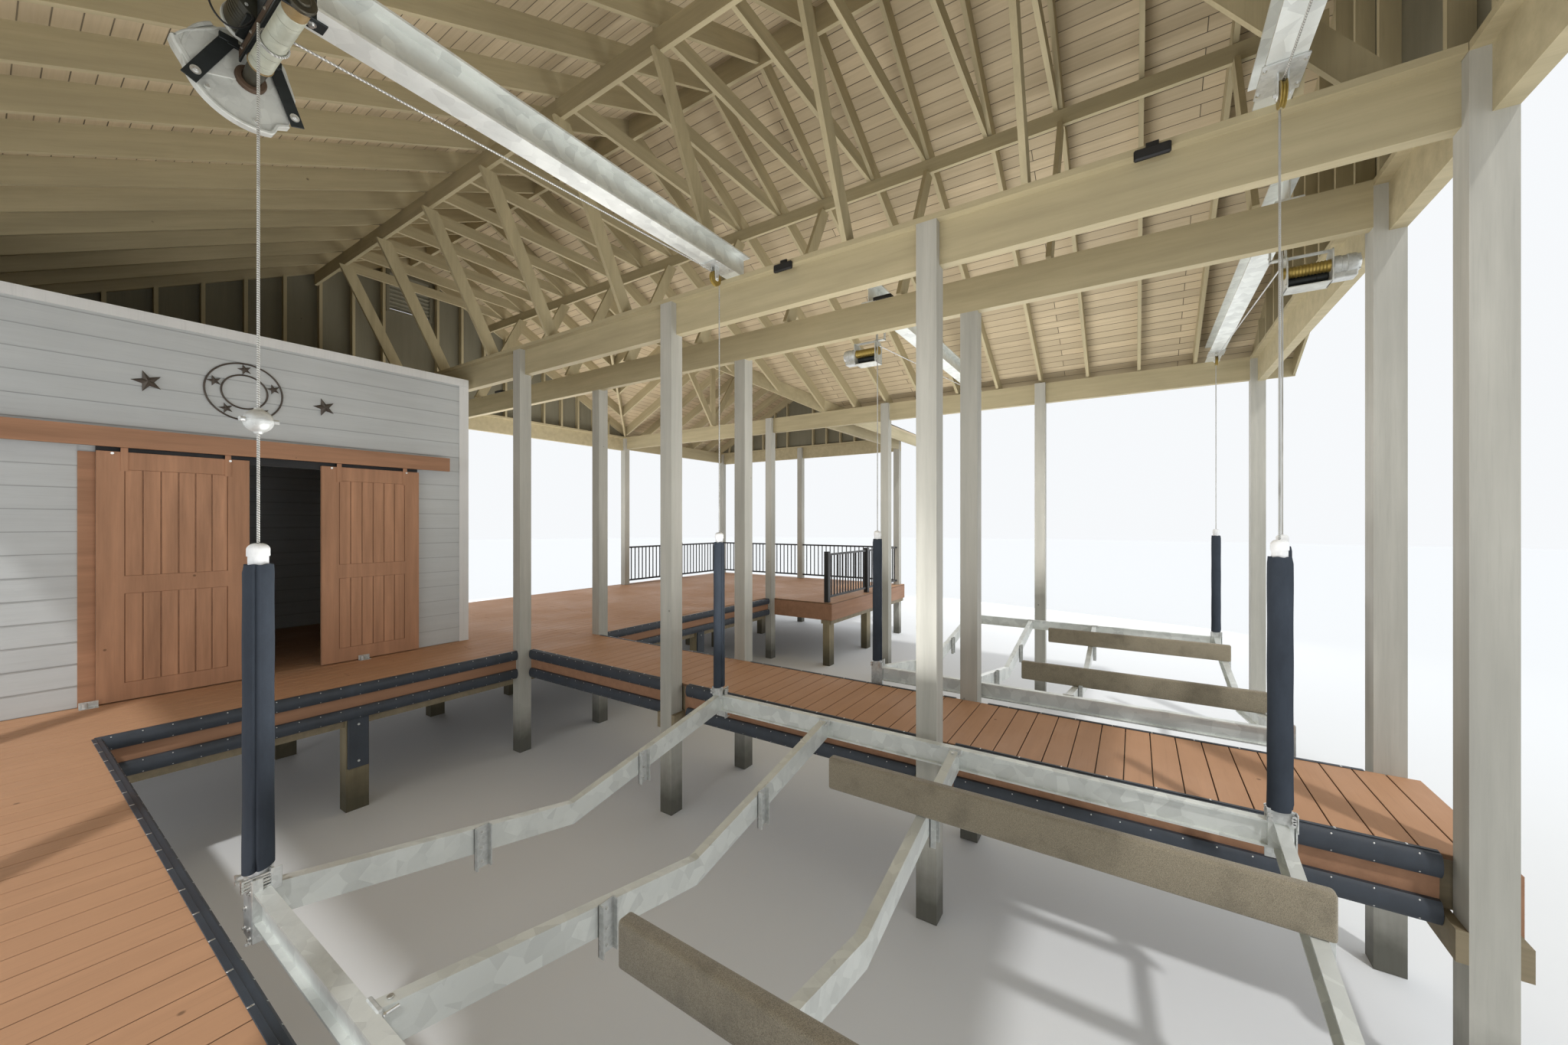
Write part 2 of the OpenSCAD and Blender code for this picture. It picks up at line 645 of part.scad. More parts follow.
// Boat lifts: two hoist beams each, with a winder near one end and a sheave near the other
module hoist_section() {
    web = 8;
    flange = 12;
    translate([-hoist_w / 2, 0]) square([hoist_w, flange]);
    translate([-hoist_w / 2, hoist_d - flange]) square([hoist_w, flange]);
    translate([-web / 2, 0]) square([web, hoist_d]);
}
module hoist_beams() color("lightgray") plan() for (lift = [lift_a, lift_b]) for (y = [lift[4], lift[5]])
    translate([0, y, beam_top]) along_x(lift[0], lift[1]) hoist_section();
module across(r, y0, y1) translate([0, y0, 0]) rotate([-90, 0, 0]) cylinder(r = r, h = y1 - y0);
module winder() {
    rail_z = drum_r + 15;
    rail_top = 140;
    gear_y = 316;
    gear_t = 40;
    drum_end = 175;
    strap = 48;
    flat = 32;
    motor_r = 80;
    box([-105, -winder_reach, rail_z], [-65, gear_y + gear_t, rail_top]);
    box([-105, -60, rail_top - 10], [-65, 60, drum_drop]);
    box([-105, hoist_w / 2 + 20, rail_top - 10], [-65, hoist_w / 2 + 180, drum_drop + 30]);
    box([-105, -winder_reach, -35], [45, 10 - winder_reach, rail_z]);
    across(25, -winder_reach, gear_y + gear_t + 40);
    across(drum_r, 20 - winder_reach, drum_end);
    across(drum_r - 6, drum_end - 5, gear_y + 15);
    across(drum_r + 8, gear_y - 12, gear_y + 7);
    box([-105, gear_y + 5, -10], [0, gear_y + gear_t - 5, rail_z + 10]);
    intersection() {
        across(gear_r, gear_y, gear_y + gear_t);
        rotate([0, 45, 0]) translate([-2 * gear_r, 0, flat - 4 * gear_r]) cube(4 * gear_r);
    }
    along_y(gear_y + 3, gear_y + gear_t + 17)
        polygon([[0, 0], for (a = [140:8:204]) [cos(a), sin(a)] * (gear_r + 45)]);
    for (leg = [[-67, 120, 116, 256], [70, 120, 70, 244]]) translate([leg[0], 0, leg[1]]) rotate([0, leg[2], 0])
        translate([0, gear_y - strap_t, -strap / 2]) cube([leg[3], strap_t + 4, strap]);
    box([-70, gear_y - strap_t - 4, rail_top - 50], [90, gear_y + 12, rail_top - 20]);
    translate([-20, 0, rail_top + 50]) across(motor_r, hoist_w / 2 + 10, hoist_w / 2 + 204);
}
// Winch of the second lift: drum and motor between two plates, a gearbox behind them
module winch() {
    plate = 8;
    back = 240;
    top = winch_drop - 280;
    box([-20, -60, winch_drop - 290], [20, back + plate, top]);
    for (y = [-60, 20]) box([-20, y, winch_drop - 290], [20, y + plate, winch_drop]);
    for (y = [20, back]) box([-55, y, -110], [115, y + plate, top]);
    box([-20, 20, -110], [115, back + plate, -100]);
    across(drum_r, -10, back + 4);
    translate([62, 0, -48]) across(42, 24, back + 4);
    translate([35, 0, 0]) across(65, back + 4, back + 150);
}
module sheave() {
    cheek = 8;
    for (y = [-14 - cheek, 14]) box([-50, y, -50], [56, y + cheek, beam_top - sheave_z]);
    across(sheave_r, -14, 14);
}
module drum_place(lift, y) translate([lift[2] + drum_r + cable_r, y, 0]) mirror([0, y == lift[4] ? 1 : 0, 0]) children();
module hoist_gear() color("gray") plan() {
    for (y = [lift_a[4], lift_a[5]]) drum_place(lift_a, y) translate([0, 0, beam_top - drum_drop]) winder();
    for (y = [lift_b[4], lift_b[5]]) drum_place(lift_b, y) translate([0, 0, beam_top - winch_drop]) winch();
    for (lift = [lift_a, lift_b]) for (y = [lift[4], lift[5]])
        translate([lift[3] - sheave_r - cable_r, y, sheave_z]) sheave();
}
module cable_run(lift, drop) {
    x0 = lift[2] + drum_r + cable_r;
    z0 = beam_top - drop + drum_r + cable_r;
    dx = lift[3] - sheave_r - cable_r - x0;
    dz = sheave_z + sheave_r + cable_r - z0;
    for (y = [lift[4], lift[5]]) translate([x0, y, z0]) rotate([0, 90 - atan2(dz, dx), 0])
        cylinder(r = cable_r, h = norm([dx, dz]), $fn = 12);
}
module cable_runs() color("silver") plan() {
    cable_run(lift_a, drum_drop);
    cable_run(lift_b, winch_drop);
}
module at_corners(lift) for (x = [lift[2], lift[3]]) for (y = [lift[4], lift[5]])
    translate([x, y, 0]) children();
module cables(lift) at_corners(lift) translate([0, 0, cable_end])
    cylinder(r = cable_r, h = cable_top - cable_end, $fn = 12);
module cables_a() color("silver") plan() cables(lift_a);
module cables_b() color("silver") plan() cables(lift_b);

// Cradle: cross beams that fall to the middle, side beams on the cable lines, bunks on the cross beams
module cross_profile(lift, top, bottom) {
    mid = (lift[2] + lift[3]) / 2;
    low = cradle_z - cradle_fall;
    polygon([[lift[2], cradle_z - bottom], [mid, low - bottom], [lift[3], cradle_z - bottom],
        [lift[3], cradle_z - top], [mid, low - top], [lift[2], cradle_z - top]]);
}
module cross_beam(lift, y) {
    web = 6;
    flange = 10;
    along_y(y - cradle_w / 2, y + cradle_w / 2) {
        cross_profile(lift, 0, flange);
        cross_profile(lift, cradle_d - flange, cradle_d);
    }
    along_y(y - cradle_w / 2, y - cradle_w / 2 + web) cross_profile(lift, 0, cradle_d);
}
module side_section() {
    for (z = [0, cradle_d - 10]) translate([-cradle_w / 2, z]) square([cradle_w, 10]);
    translate([-3, 0]) square([6, cradle_d]);
}
module cradle(lift) difference() {
    union() {
        for (share = [0, 0.44, 0.71, 1]) cross_beam(lift, lift[4] + share * (lift[5] - lift[4]));
        for (x = [lift[2], lift[3]]) translate([x, 0, cradle_z - cradle_d])
            along_y(lift[4] - cradle_w, lift[5] + cradle_w) side_section();
        at_corners(lift) box([-cradle_w / 2, -45, cradle_z - cradle_d], [cradle_w / 2, 45, cradle_z]);
    }
    at_corners(lift) translate([0, 0, cable_end]) cylinder(r = 3 * cable_r, h = far);
}
module cradle_a() color("lightgray") plan() cradle(lift_a);
module cradle_b() color("lightgray") plan() cradle(lift_b);
module bunk(lift, side) {
    mid = (lift[2] + lift[3]) / 2;
    span = (lift[3] - lift[2]) / 2;
    outer = span * 0.568;
    inner = outer - bunk_t;
    z0 = cradle_z - cradle_fall * (1 - inner / span) + 0.1;
    z1 = cradle_z - cradle_fall * (1 - outer / span) + 0.1;
    translate([mid, 0, 0]) scale([side, 1, 1]) along_y(lift[4] - cradle_w, lift[4] + 0.6 * (lift[5] - lift[4]))
        polygon([[inner, z0], [outer, z1], [outer, z0 + bunk_h], [inner, z0 + bunk_h]]);
}
module bunks_a() color("dimgray") plan() for (side = [-1, 1]) bunk(lift_a, side);
module bunks_b() color("dimgray") plan() for (side = [-1, 1]) bunk(lift_b, side);
module guides(lift) at_corners(lift) translate([0, 0, cradle_z]) difference() {
    union() {
        cylinder(r = guide_r, h = guide_h);
        translate([0, 0, guide_h]) cylinder(r = guide_r - 15, h = 80);
    }
    translate([0, 0, -1]) cylinder(r = 3 * cable_r, h = far);
}
module guides_a() color("dimgray") plan() guides(lift_a);
module guides_b() color("dimgray") plan() guides(lift_b);

posts();
dock_piles();
pile_caps();
joists();
dock_fascia();
slip_bumpers();
walkway_decks();
land_deck();
wing_deck();
wing_rail();
beams();
wing_beams();
beam_caps();
main_rafters();
ridge_boards();
purlins();
collar_ties();
struts();
valley_rafters();
wing_rafters();
near_roof();
far_roof();
wing_lake_roof();
wing_land_roof();
roof_fascia();
gable_walls();
gable_studs();
store_front();
store_lintel();
store_walls();
store_ceiling();
store_trim();
door_frame();
left_door();
right_door();
hoist_beams();
hoist_gear();
cable_runs();
cables_a();
cables_b();
cradle_a();
cradle_b();
bunks_a();
bunks_b();
guides_a();
guides_b();
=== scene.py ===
import math

import bmesh
import bpy
from bmesh.types import BMEdge, BMFace, BMVert
from mathutils import Matrix, Vector


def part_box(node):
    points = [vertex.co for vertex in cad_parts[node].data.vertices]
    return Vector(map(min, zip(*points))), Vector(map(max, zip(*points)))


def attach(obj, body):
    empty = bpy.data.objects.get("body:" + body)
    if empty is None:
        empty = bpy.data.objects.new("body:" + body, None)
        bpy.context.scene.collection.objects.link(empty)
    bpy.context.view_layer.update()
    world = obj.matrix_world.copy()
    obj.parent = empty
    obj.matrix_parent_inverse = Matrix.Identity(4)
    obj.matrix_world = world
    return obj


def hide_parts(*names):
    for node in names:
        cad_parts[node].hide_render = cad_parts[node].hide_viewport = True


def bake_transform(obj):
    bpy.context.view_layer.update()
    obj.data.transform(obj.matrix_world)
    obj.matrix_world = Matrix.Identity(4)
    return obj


bl_info = {
    "name": "Boathouse dressing",
    "version": (1, 0, 0),
    "blender": (4, 5, 0),
    "location": "3D View > Sidebar > Boathouse",
    "description": "Boards, siding, roofing, lift hardware and finishes for the packed boathouse",
    "category": "Object",
}

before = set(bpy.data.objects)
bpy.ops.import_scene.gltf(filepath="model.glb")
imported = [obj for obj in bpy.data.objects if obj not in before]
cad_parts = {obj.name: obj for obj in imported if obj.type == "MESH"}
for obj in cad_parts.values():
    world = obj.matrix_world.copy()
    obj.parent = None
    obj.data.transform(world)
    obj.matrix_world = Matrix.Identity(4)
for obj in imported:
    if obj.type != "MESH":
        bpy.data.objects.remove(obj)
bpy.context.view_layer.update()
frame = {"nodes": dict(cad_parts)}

# Plan metres count from the near lake post, as on the drawings
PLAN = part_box("posts")[0] + Vector((0.07, 0.07, 0))
ROOF_LOW, ROOF_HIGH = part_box("near_roof")
WING_LOW, WING_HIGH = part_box("wing_lake_roof")
DECK_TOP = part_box("land_deck")[1].z
STORE_LOW, STORE_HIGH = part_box("store_walls")
STORE_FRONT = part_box("store_front")[0].y
ROOF_SLOPE = 0.5
PITCH = math.atan(ROOF_SLOPE)
RIDGE_X = ROOF_HIGH.x
WING_MID = WING_HIGH.y
BEAM_TOP = 4.741
CRADLE_FALL = 0.28
CABLE_RADIUS = 0.0048
QUARTER = math.pi / 2
EASED = 0.002
# The axis of a winder's or winch's drum in its own space: centre and direction
DRUM = ((0, 0, 0), (0, 1, 0))
FINISHES = {}


def spot(x, y, z):
    """A plan place as a point of the frame."""
    return Vector((x + PLAN.x, y + PLAN.y, z))


def linear(red, green, blue):
    """A screen colour from 0 to 255 as the light values that shaders use."""
    return tuple(((c / 255 + 0.055) / 1.055) ** 2.4 if c > 10 else c / 3294.6 for c in (red, green, blue))


def solids_of(node):
    """Lowest and highest corner of each separate solid in a CAD node."""
    shape = bmesh.new()
    shape.from_mesh(frame["nodes"][node].data)
    bmesh.ops.remove_doubles(shape, verts=shape.verts, dist=1e-5)
    waiting, found = set(shape.verts), []
    while waiting:
        edge_of_search = [waiting.pop()]
        solid = []
        while edge_of_search:
            vert = edge_of_search.pop()
            solid.append(vert.co.copy())
            for edge in vert.link_edges:
                other = edge.other_vert(vert)
                if other in waiting:
                    waiting.remove(other)
                    edge_of_search.append(other)
        found.append((Vector(map(min, *solid)), Vector(map(max, *solid))))
    shape.free()
    return sorted(found, key=lambda box: tuple(round(v, 3) for v in box[0]))


def paces(first, last, step):
    """Places a step apart, from first on, that stay under last."""
    while first < last:
        yield first
        first += step


# Shapes


def picked(made, kind):
    """The parts of one kind among what an operator made."""
    return [part for part in made["geom"] if isinstance(part, kind)]


def ease(shape, edges, offset, segments=1):
    """Takes the sharpness off edges."""
    return bmesh.ops.bevel(
        shape, geom=edges, offset=offset, segments=segments, profile=0.5, affect="EDGES", material=-1
    )["verts"]


def block(shape, low, high, soft=0.0):
    """A sawn block between two corners, with its edges eased by soft."""
    low, high = Vector(low), Vector(high)
    verts = bmesh.ops.create_cube(shape, size=1.0)["verts"]
    bmesh.ops.scale(shape, vec=high - low, verts=verts)
    bmesh.ops.translate(shape, vec=(low + high) / 2, verts=verts)
    if soft:
        verts = ease(shape, list({edge for vert in verts for edge in vert.link_edges}), soft)
    return verts


def blocks(shape, rows, at=(0, 0, 0)):
    """Sawn blocks from rows of low corner, high corner and easing, all counted from one place."""
    for low, high, soft in rows:
        block(shape, Vector(at) + Vector(low), Vector(at) + Vector(high), soft)


def rod(shape, start, end, radius, sides=16):
    """A round bar from start to end."""
    start, end = Vector(start), Vector(end)
    line = end - start
    turn = line.to_track_quat("Z", "Y").to_matrix().to_4x4()
    bmesh.ops.create_cone(
        shape,
        cap_ends=True,
        segments=sides,
        radius1=radius,
        radius2=radius,
        depth=line.length,
        matrix=Matrix.Translation((start + end) / 2) @ turn,
    )


def cut_out(shape, outline, thickness, soft=0.0):
    """A flat outline of points pushed through a thickness vector, with its sharp edges eased by soft."""
    face = shape.faces.new([shape.verts.new(point) for point in outline])
    moved = picked(bmesh.ops.extrude_face_region(shape, geom=[face]), BMVert)
    bmesh.ops.translate(shape, vec=Vector(thickness), verts=moved)
    verts = moved + list(face.verts)
    if soft:
        faces = list({face for vert in verts for face in vert.link_faces})
        bmesh.ops.recalc_face_normals(shape, faces=faces)
        edges = {edge for face in faces for edge in face.edges}
        ease(shape, [edge for edge in edges if edge.calc_face_angle(0) > 0.6], soft)
    return verts


def at_turn(radius, degrees, y=0.0):
    """A point round the y axis, its turn counted from x towards z."""
    turn = math.radians(degrees)
    return Vector((math.cos(turn) * radius, y, math.sin(turn) * radius))


def arc(radius, first, last, steps=24):
    """Points round the y axis, between two turns in degrees."""
    return [at_turn(radius, first + (last - first) * k / steps) for k in range(steps + 1)]


def band(line, width):
    """The outline of a flat band of one width along a line of points that share their y."""
    steps = [(b - a).normalized() for a, b in zip(line, line[1:])]
    ways = [steps[0]] + [(a + b).normalized() for a, b in zip(steps, steps[1:])] + [steps[-1]]
    aside = [Vector((-way.z, 0, way.x)) * (width / 2) for way in ways]
    return [p + a for p, a in zip(line, aside)] + [p - a for p, a in zip(reversed(line), reversed(aside))]


def shifted(points, x=0.0, y=0.0, z=0.0):
    """The same points, moved."""
    return [point + Vector((x, y, z)) for point in points]


def smooth_path(knots, steps):
    """A smooth line through all the knots, with so many points for each stretch."""
    knots = [Vector(knot) for knot in knots]
    ends = [2 * knots[0] - knots[1], *knots, 2 * knots[-1] - knots[-2]]
    line = []
    for a, b, c, d in zip(ends, ends[1:], ends[2:], ends[3:]):
        for k in range(steps):
            t = k / steps
            line.append(b + 0.5 * t * (c - a + t * (2 * a - 5 * b + 4 * c - d + t * (3 * b - a - 3 * c + d))))
    return [*line, knots[-1]]


def hoop(inner, outer, low, high):
    """The outline of a square-edged ring for turned."""
    return [(inner, low), (outer, low), (outer, high), (inner, high), (inner, low)]


def ribs(places, profile):
    """One profile of (radius, step) repeated from each place along an axis."""
    return [(radius, place + step) for place in places for radius, step in profile]


def turned(shape, outline, centre, axis, steps=32):
    """A lathe shape: outline points are (radius, along), spun round the axis through centre."""
    axis = Vector(axis).normalized()
    side = axis.orthogonal().normalized()
    verts = [shape.verts.new(Vector(centre) + side * r + axis * a) for r, a in outline]
    edges = [shape.edges.new(pair) for pair in zip(verts, verts[1:])]
    bmesh.ops.spin(
        shape,
        geom=verts + edges,
        cent=Vector(centre),
        axis=axis,
        dvec=(0, 0, 0),
        angle=2 * math.pi,
        steps=steps,
        use_merge=True,
    )
    bmesh.ops.remove_doubles(shape, verts=shape.verts, dist=1e-5)


def bolt(shape, head, direction, size=0.012):
    """A hexagon head on a washer."""
    head, direction = Vector(head), Vector(direction).normalized()
    washer = 0.002
    rod(shape, head, head + direction * washer, size * 0.95, 12)
    rod(shape, head + direction * washer, head + direction * (washer + size * 0.6), size * 0.62, 6)


def bolts_at(shape, places, direction, size):
    """The same bolt at several places."""
    for place in places:
        bolt(shape, place, direction, size)


def as_mesh(name, shape):
    """Ends a shape by making it a mesh."""
    mesh = bpy.data.meshes.new(name)
    shape.to_mesh(mesh)
    shape.free()
    return mesh


def linked(name, data):
    """A new object of the scene."""
    made = bpy.data.objects.new(name, data)
    bpy.context.scene.collection.objects.link(made)
    return made


def copies(shape, pattern, places):
    """Copies of one small shape, one for each matrix."""
    mesh = as_mesh("pattern", pattern)
    for place in places:
        one = mesh.copy()
        one.transform(place)
        shape.from_mesh(one)
        bpy.data.meshes.remove(one)
    bpy.data.meshes.remove(mesh)


def set_down(name, shape, body, finish, stands_for=(), smooth=0):
    """Makes a finished shape a piece of the boathouse that rides on its body."""
    bmesh.ops.recalc_face_normals(shape, faces=shape.faces)
    mesh = as_mesh(name, shape)
    mesh.materials.append(FINISHES[finish])
    if smooth:
        mesh.shade_smooth()
        mesh.set_sharp_from_angle(angle=math.radians(smooth))
    piece = linked(name, mesh)
    if body:
        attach(piece, body)
    if stands_for:
        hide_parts(*stands_for)
    return piece


# Finishes


class Finish:
    """One procedural material, built node by node."""

    def __init__(self, name, roughness=0.6, metallic=0.0, specular=0.35):
        self.material = bpy.data.materials.new(name)
        self.material.use_nodes = True
        self.tree = self.material.node_tree
        self.shader = self.tree.nodes["Principled BSDF"]
        self.feed("Roughness", roughness)
        self.feed("Metallic", metallic)
        self.feed("Specular IOR Level", specular)
        self.object = self.node("ShaderNodeTexCoord").outputs["Object"]
        self.height = None
        FINISHES[name] = self.material

    def node(self, kind, feeds=None, **settings):
        """Adds a node; feeds are its inputs, by name or number, as values or as other nodes' outputs."""
        made = self.tree.nodes.new(kind)
        for key, value in settings.items():
            setattr(made, key, value)
        for key, value in (feeds or {}).items():
            self.plug(made.inputs[key], value)
        return made

    def plug(self, socket, value):
        if isinstance(value, bpy.types.NodeSocket):
            self.tree.links.new(value, socket)
        elif socket.type == "RGBA" and len(value) == 3:
            socket.default_value = (*value, 1)
        else:
            socket.default_value = value

    def feed(self, name, value):
        self.plug(self.shader.inputs[name], value)

    def mapped(self, vector, scale=(1, 1, 1), turn=(0, 0, 0), shift=(0, 0, 0)):
        return self.node(
            "ShaderNodeMapping", {"Vector": vector, "Location": shift, "Rotation": turn, "Scale": scale}
        ).outputs[0]

    def noise(self, vector, scale, detail=4.0, rough=0.55):
        return self.node(
            "ShaderNodeTexNoise", {"Vector": vector, "Scale": scale, "Detail": detail, "Roughness": rough}
        ).outputs[0]

    def maths(self, operation, a, b=0.0):
        return self.node("ShaderNodeMath", {0: a, 1: b}, operation=operation).outputs[0]

    def spread(self, value, low, high, new_low=0.0, new_high=1.0):
        feeds = {0: value, 1: low, 2: high, 3: new_low, 4: new_high}
        return self.node("ShaderNodeMapRange", feeds).outputs[0]

    def mix(self, share, a, b):
        feeds = {0: share, 6: a, 7: b}
        return self.node("ShaderNodeMix", feeds, data_type="RGBA", clamp_factor=True).outputs[2]

    def parts(self, vector):
        return self.node("ShaderNodeSeparateXYZ", {0: vector}).outputs

    def joined(self, x, y, z=0.0):
        return self.node("ShaderNodeCombineXYZ", {0: x, 1: y, 2: z}).outputs[0]

    def folded(self, ridge):
        """Object places mirrored about a ridge, so both roof slopes fall the same way."""
        moved = self.mapped(self.object, shift=tuple(-v for v in ridge))
        return self.node("ShaderNodeVectorMath", {0: moved}, operation="ABSOLUTE").outputs[0]

    def over(self, share, colour):
        """Lays another colour over what the base colour shows."""
        under = self.shader.inputs["Base Color"].links[0].from_socket
        self.feed("Base Color", self.mix(share, under, colour))

    def relief(self, height, strength, depth):
        feeds = {"Height": height, "Strength": strength, "Distance": depth}
        if self.height:
            feeds["Normal"] = self.height
        self.height = self.node("ShaderNodeBump", feeds).outputs[0]
        self.feed("Normal", self.height)


def shade(colour, by):
    """A darker or lighter shade of a colour."""
    return tuple(min(1.0, channel * by) for channel in colour[:3])


def upright(made):
    """Object places turned so that the grain stands up."""
    return made.mapped(made.object, turn=(0, QUARTER, 0))


def lengthways(made):
    """Object places turned so that the grain runs from land to lake."""
    return made.mapped(made.object, turn=(0, 0, -QUARTER))


def crossways(made):
    """Object places as they are, for grain across the slips."""
    return made.object


def wood_coat(name, colour, grain, grain_depth=0.0012, contrast=0.16, wet=False, rough=(0.5, 0.75)):
    """Painted or stained wood, its grain along the x of the vector that grain makes."""
    made = Finish(name, specular=0.2)
    lie = grain(made)
    broad = made.noise(made.mapped(lie, scale=(0.9, 12, 12)), 1.0, 5.0, 0.6)
    fine = made.noise(made.mapped(lie, scale=(3, 90, 90)), 1.0, 3.0, 0.6)
    mottle = made.noise(made.object, 1.3, 4.0, 0.6)
    dark, light = shade(colour, 1 - contrast), shade(colour, 1 + contrast * 0.6)
    tone = made.mix(made.spread(broad, 0.3, 0.7), dark, light)
    tone = made.mix(made.spread(mottle, 0.35, 0.75, 0.0, 0.5), tone, shade(colour, 0.84))
    tone = made.mix(made.spread(fine, 0.55, 0.8, 0.0, 0.35), tone, shade(colour, 0.7))
    cells = made.node("ShaderNodeTexVoronoi", {"Vector": made.object, "Scale": 2.6})
    speck = made.spread(cells.outputs["Distance"], 0.02, 0.034, 0.75, 0.0)
    tone = made.mix(speck, tone, shade(colour, 0.3))
    if wet:
        height = made.parts(made.object)[2]
        ragged = made.maths("ADD", height, made.spread(made.noise(made.object, 6.0), 0.0, 1.0, -0.12, 0.12))
        tone = made.mix(made.spread(ragged, 0.12, 0.55, 0.8, 0.0), tone, (0.035, 0.034, 0.022))
    made.feed("Base Color", tone)
    made.feed("Roughness", made.spread(mottle, 0.3, 0.7, *rough))
    made.relief(broad, 0.25, grain_depth * 2)
    made.relief(fine, 0.3, grain_depth)
    return made


def metal_coat(name, colour, rough=(0.32, 0.5), metallic=0.85, cell=26.0, stain=0.35):
    """Galvanised or cast metal: crystal spangle, cloudy stains and fine pitting."""
    made = Finish(name, metallic=metallic, specular=0.5)
    spangle = made.node("ShaderNodeTexVoronoi", {"Vector": made.object, "Scale": cell}).outputs["Color"]
    cloud = made.noise(made.object, 5.0, 6.0, 0.65)
    tone = made.mix(made.parts(spangle)[0], shade(colour, 0.88), shade(colour, 1.08))
    tone = made.mix(made.spread(cloud, 0.5, 0.8, 0.0, stain), tone, shade(colour, 0.45))
    made.feed("Base Color", tone)
    made.feed("Roughness", made.spread(cloud, 0.3, 0.75, *rough))
    made.relief(made.noise(made.object, 160.0, 2.0), 0.18, 0.0008)
    return made


def board_finish(name, colour, along, across, width, length):
    """Boards side by side: each with its own tint, dark joints and grain along them."""
    made = Finish(name)
    lie = made.joined(along(made), across(made))
    boards = made.node(
        "ShaderNodeTexBrick",
        {
            "Vector": lie,
            "Color1": shade(colour, 0.86),
            "Color2": shade(colour, 1.12),
            "Mortar": shade(colour, 0.1),
            "Scale": 1.0,
            "Mortar Size": 0.0035,
            "Mortar Smooth": 0.2,
            "Bias": 0.0,
            "Brick Width": length,
            "Row Height": width,
        },
        offset=0.37,
    )
    grain = made.noise(made.mapped(lie, scale=(1.2, 38, 1)), 1.0, 5.0, 0.6)
    tone = made.mix(made.spread(grain, 0.4, 0.75, 0.0, 0.4), boards.outputs[0], shade(colour, 0.66))
    mottle = made.noise(made.object, 0.9, 4.0)
    tone = made.mix(made.spread(mottle, 0.4, 0.75, 0.0, 0.35), tone, shade(colour, 0.75))
    made.feed("Base Color", tone)
    made.feed("Roughness", made.spread(grain, 0.3, 0.7, 0.6, 0.8))
    made.relief(grain, 0.25, 0.0015)
    made.relief(made.maths("SUBTRACT", 1.0, boards.outputs[1]), 0.8, 0.005)
    return made


class BoathouseColours(bpy.types.PropertyGroup):
    """Colours of the boathouse's coats and materials."""

    posts: bpy.props.FloatVectorProperty(
        name="Posts", description="Paint on the posts", subtype="COLOR", default=linear(180, 178, 168)
    )
    frame: bpy.props.FloatVectorProperty(
        name="Frame",
        description="Paint on beams, rafters and ties",
        subtype="COLOR",
        default=linear(182, 170, 137),
    )
    roof_boards: bpy.props.FloatVectorProperty(
        name="Roof boards",
        description="Underside of the roof",
        subtype="COLOR",
        default=linear(194, 177, 146),
    )
    gable: bpy.props.FloatVectorProperty(
        name="Gables", description="Boarding of the gables", subtype="COLOR", default=linear(126, 122, 104)
    )
    siding: bpy.props.FloatVectorProperty(
        name="Siding",
        description="Lap siding of the store room",
        subtype="COLOR",
        default=linear(200, 203, 202),
    )
    trim: bpy.props.FloatVectorProperty(
        name="Trim",
        description="Trim boards of the store room",
        subtype="COLOR",
        default=linear(228, 228, 225),
    )
    doors: bpy.props.FloatVectorProperty(
        name="Doors",
        description="Stain on doors and track cover",
        subtype="COLOR",
        default=linear(186, 141, 110),
    )
    deck: bpy.props.FloatVectorProperty(
        name="Deck", description="Deck boards", subtype="COLOR", default=linear(194, 150, 116)
    )
    bumper: bpy.props.FloatVectorProperty(
        name="Bumpers",
        description="Edge bumpers and guide covers",
        subtype="COLOR",
        default=linear(56, 62, 70),
    )
    roofing: bpy.props.FloatVectorProperty(
        name="Roofing", description="Shingles on the roof", subtype="COLOR", default=linear(118, 110, 100)
    )


class BoathouseSizes(bpy.types.PropertyGroup):
    """Sizes of the boathouse's boards and fittings."""

    deck_pitch: bpy.props.FloatProperty(
        name="Deck pitch", description="One deck board and its gap", unit="LENGTH", default=0.145, min=0.08
    )
    deck_gap: bpy.props.FloatProperty(
        name="Deck gap", description="Gap between deck boards", unit="LENGTH", default=0.006, min=0.001
    )
    lap: bpy.props.FloatProperty(
        name="Lap", description="Height that each siding board shows", unit="LENGTH", default=0.178, min=0.05
    )
    roof_board: bpy.props.FloatProperty(
        name="Roof board", description="Width of a roof board", unit="LENGTH", default=0.112, min=0.05
    )
    course: bpy.props.FloatProperty(
        name="Course",
        description="Length that each shingle course shows",
        unit="LENGTH",
        default=0.145,
        min=0.05,
    )
    screw_gap: bpy.props.FloatProperty(
        name="Screw spacing",
        description="Spacing of the bumper screws",
        unit="LENGTH",
        default=0.145,
        min=0.03,
    )
    door_boards: bpy.props.IntProperty(
        name="Door boards", description="Boards set side by side in a door panel", default=6, min=2
    )


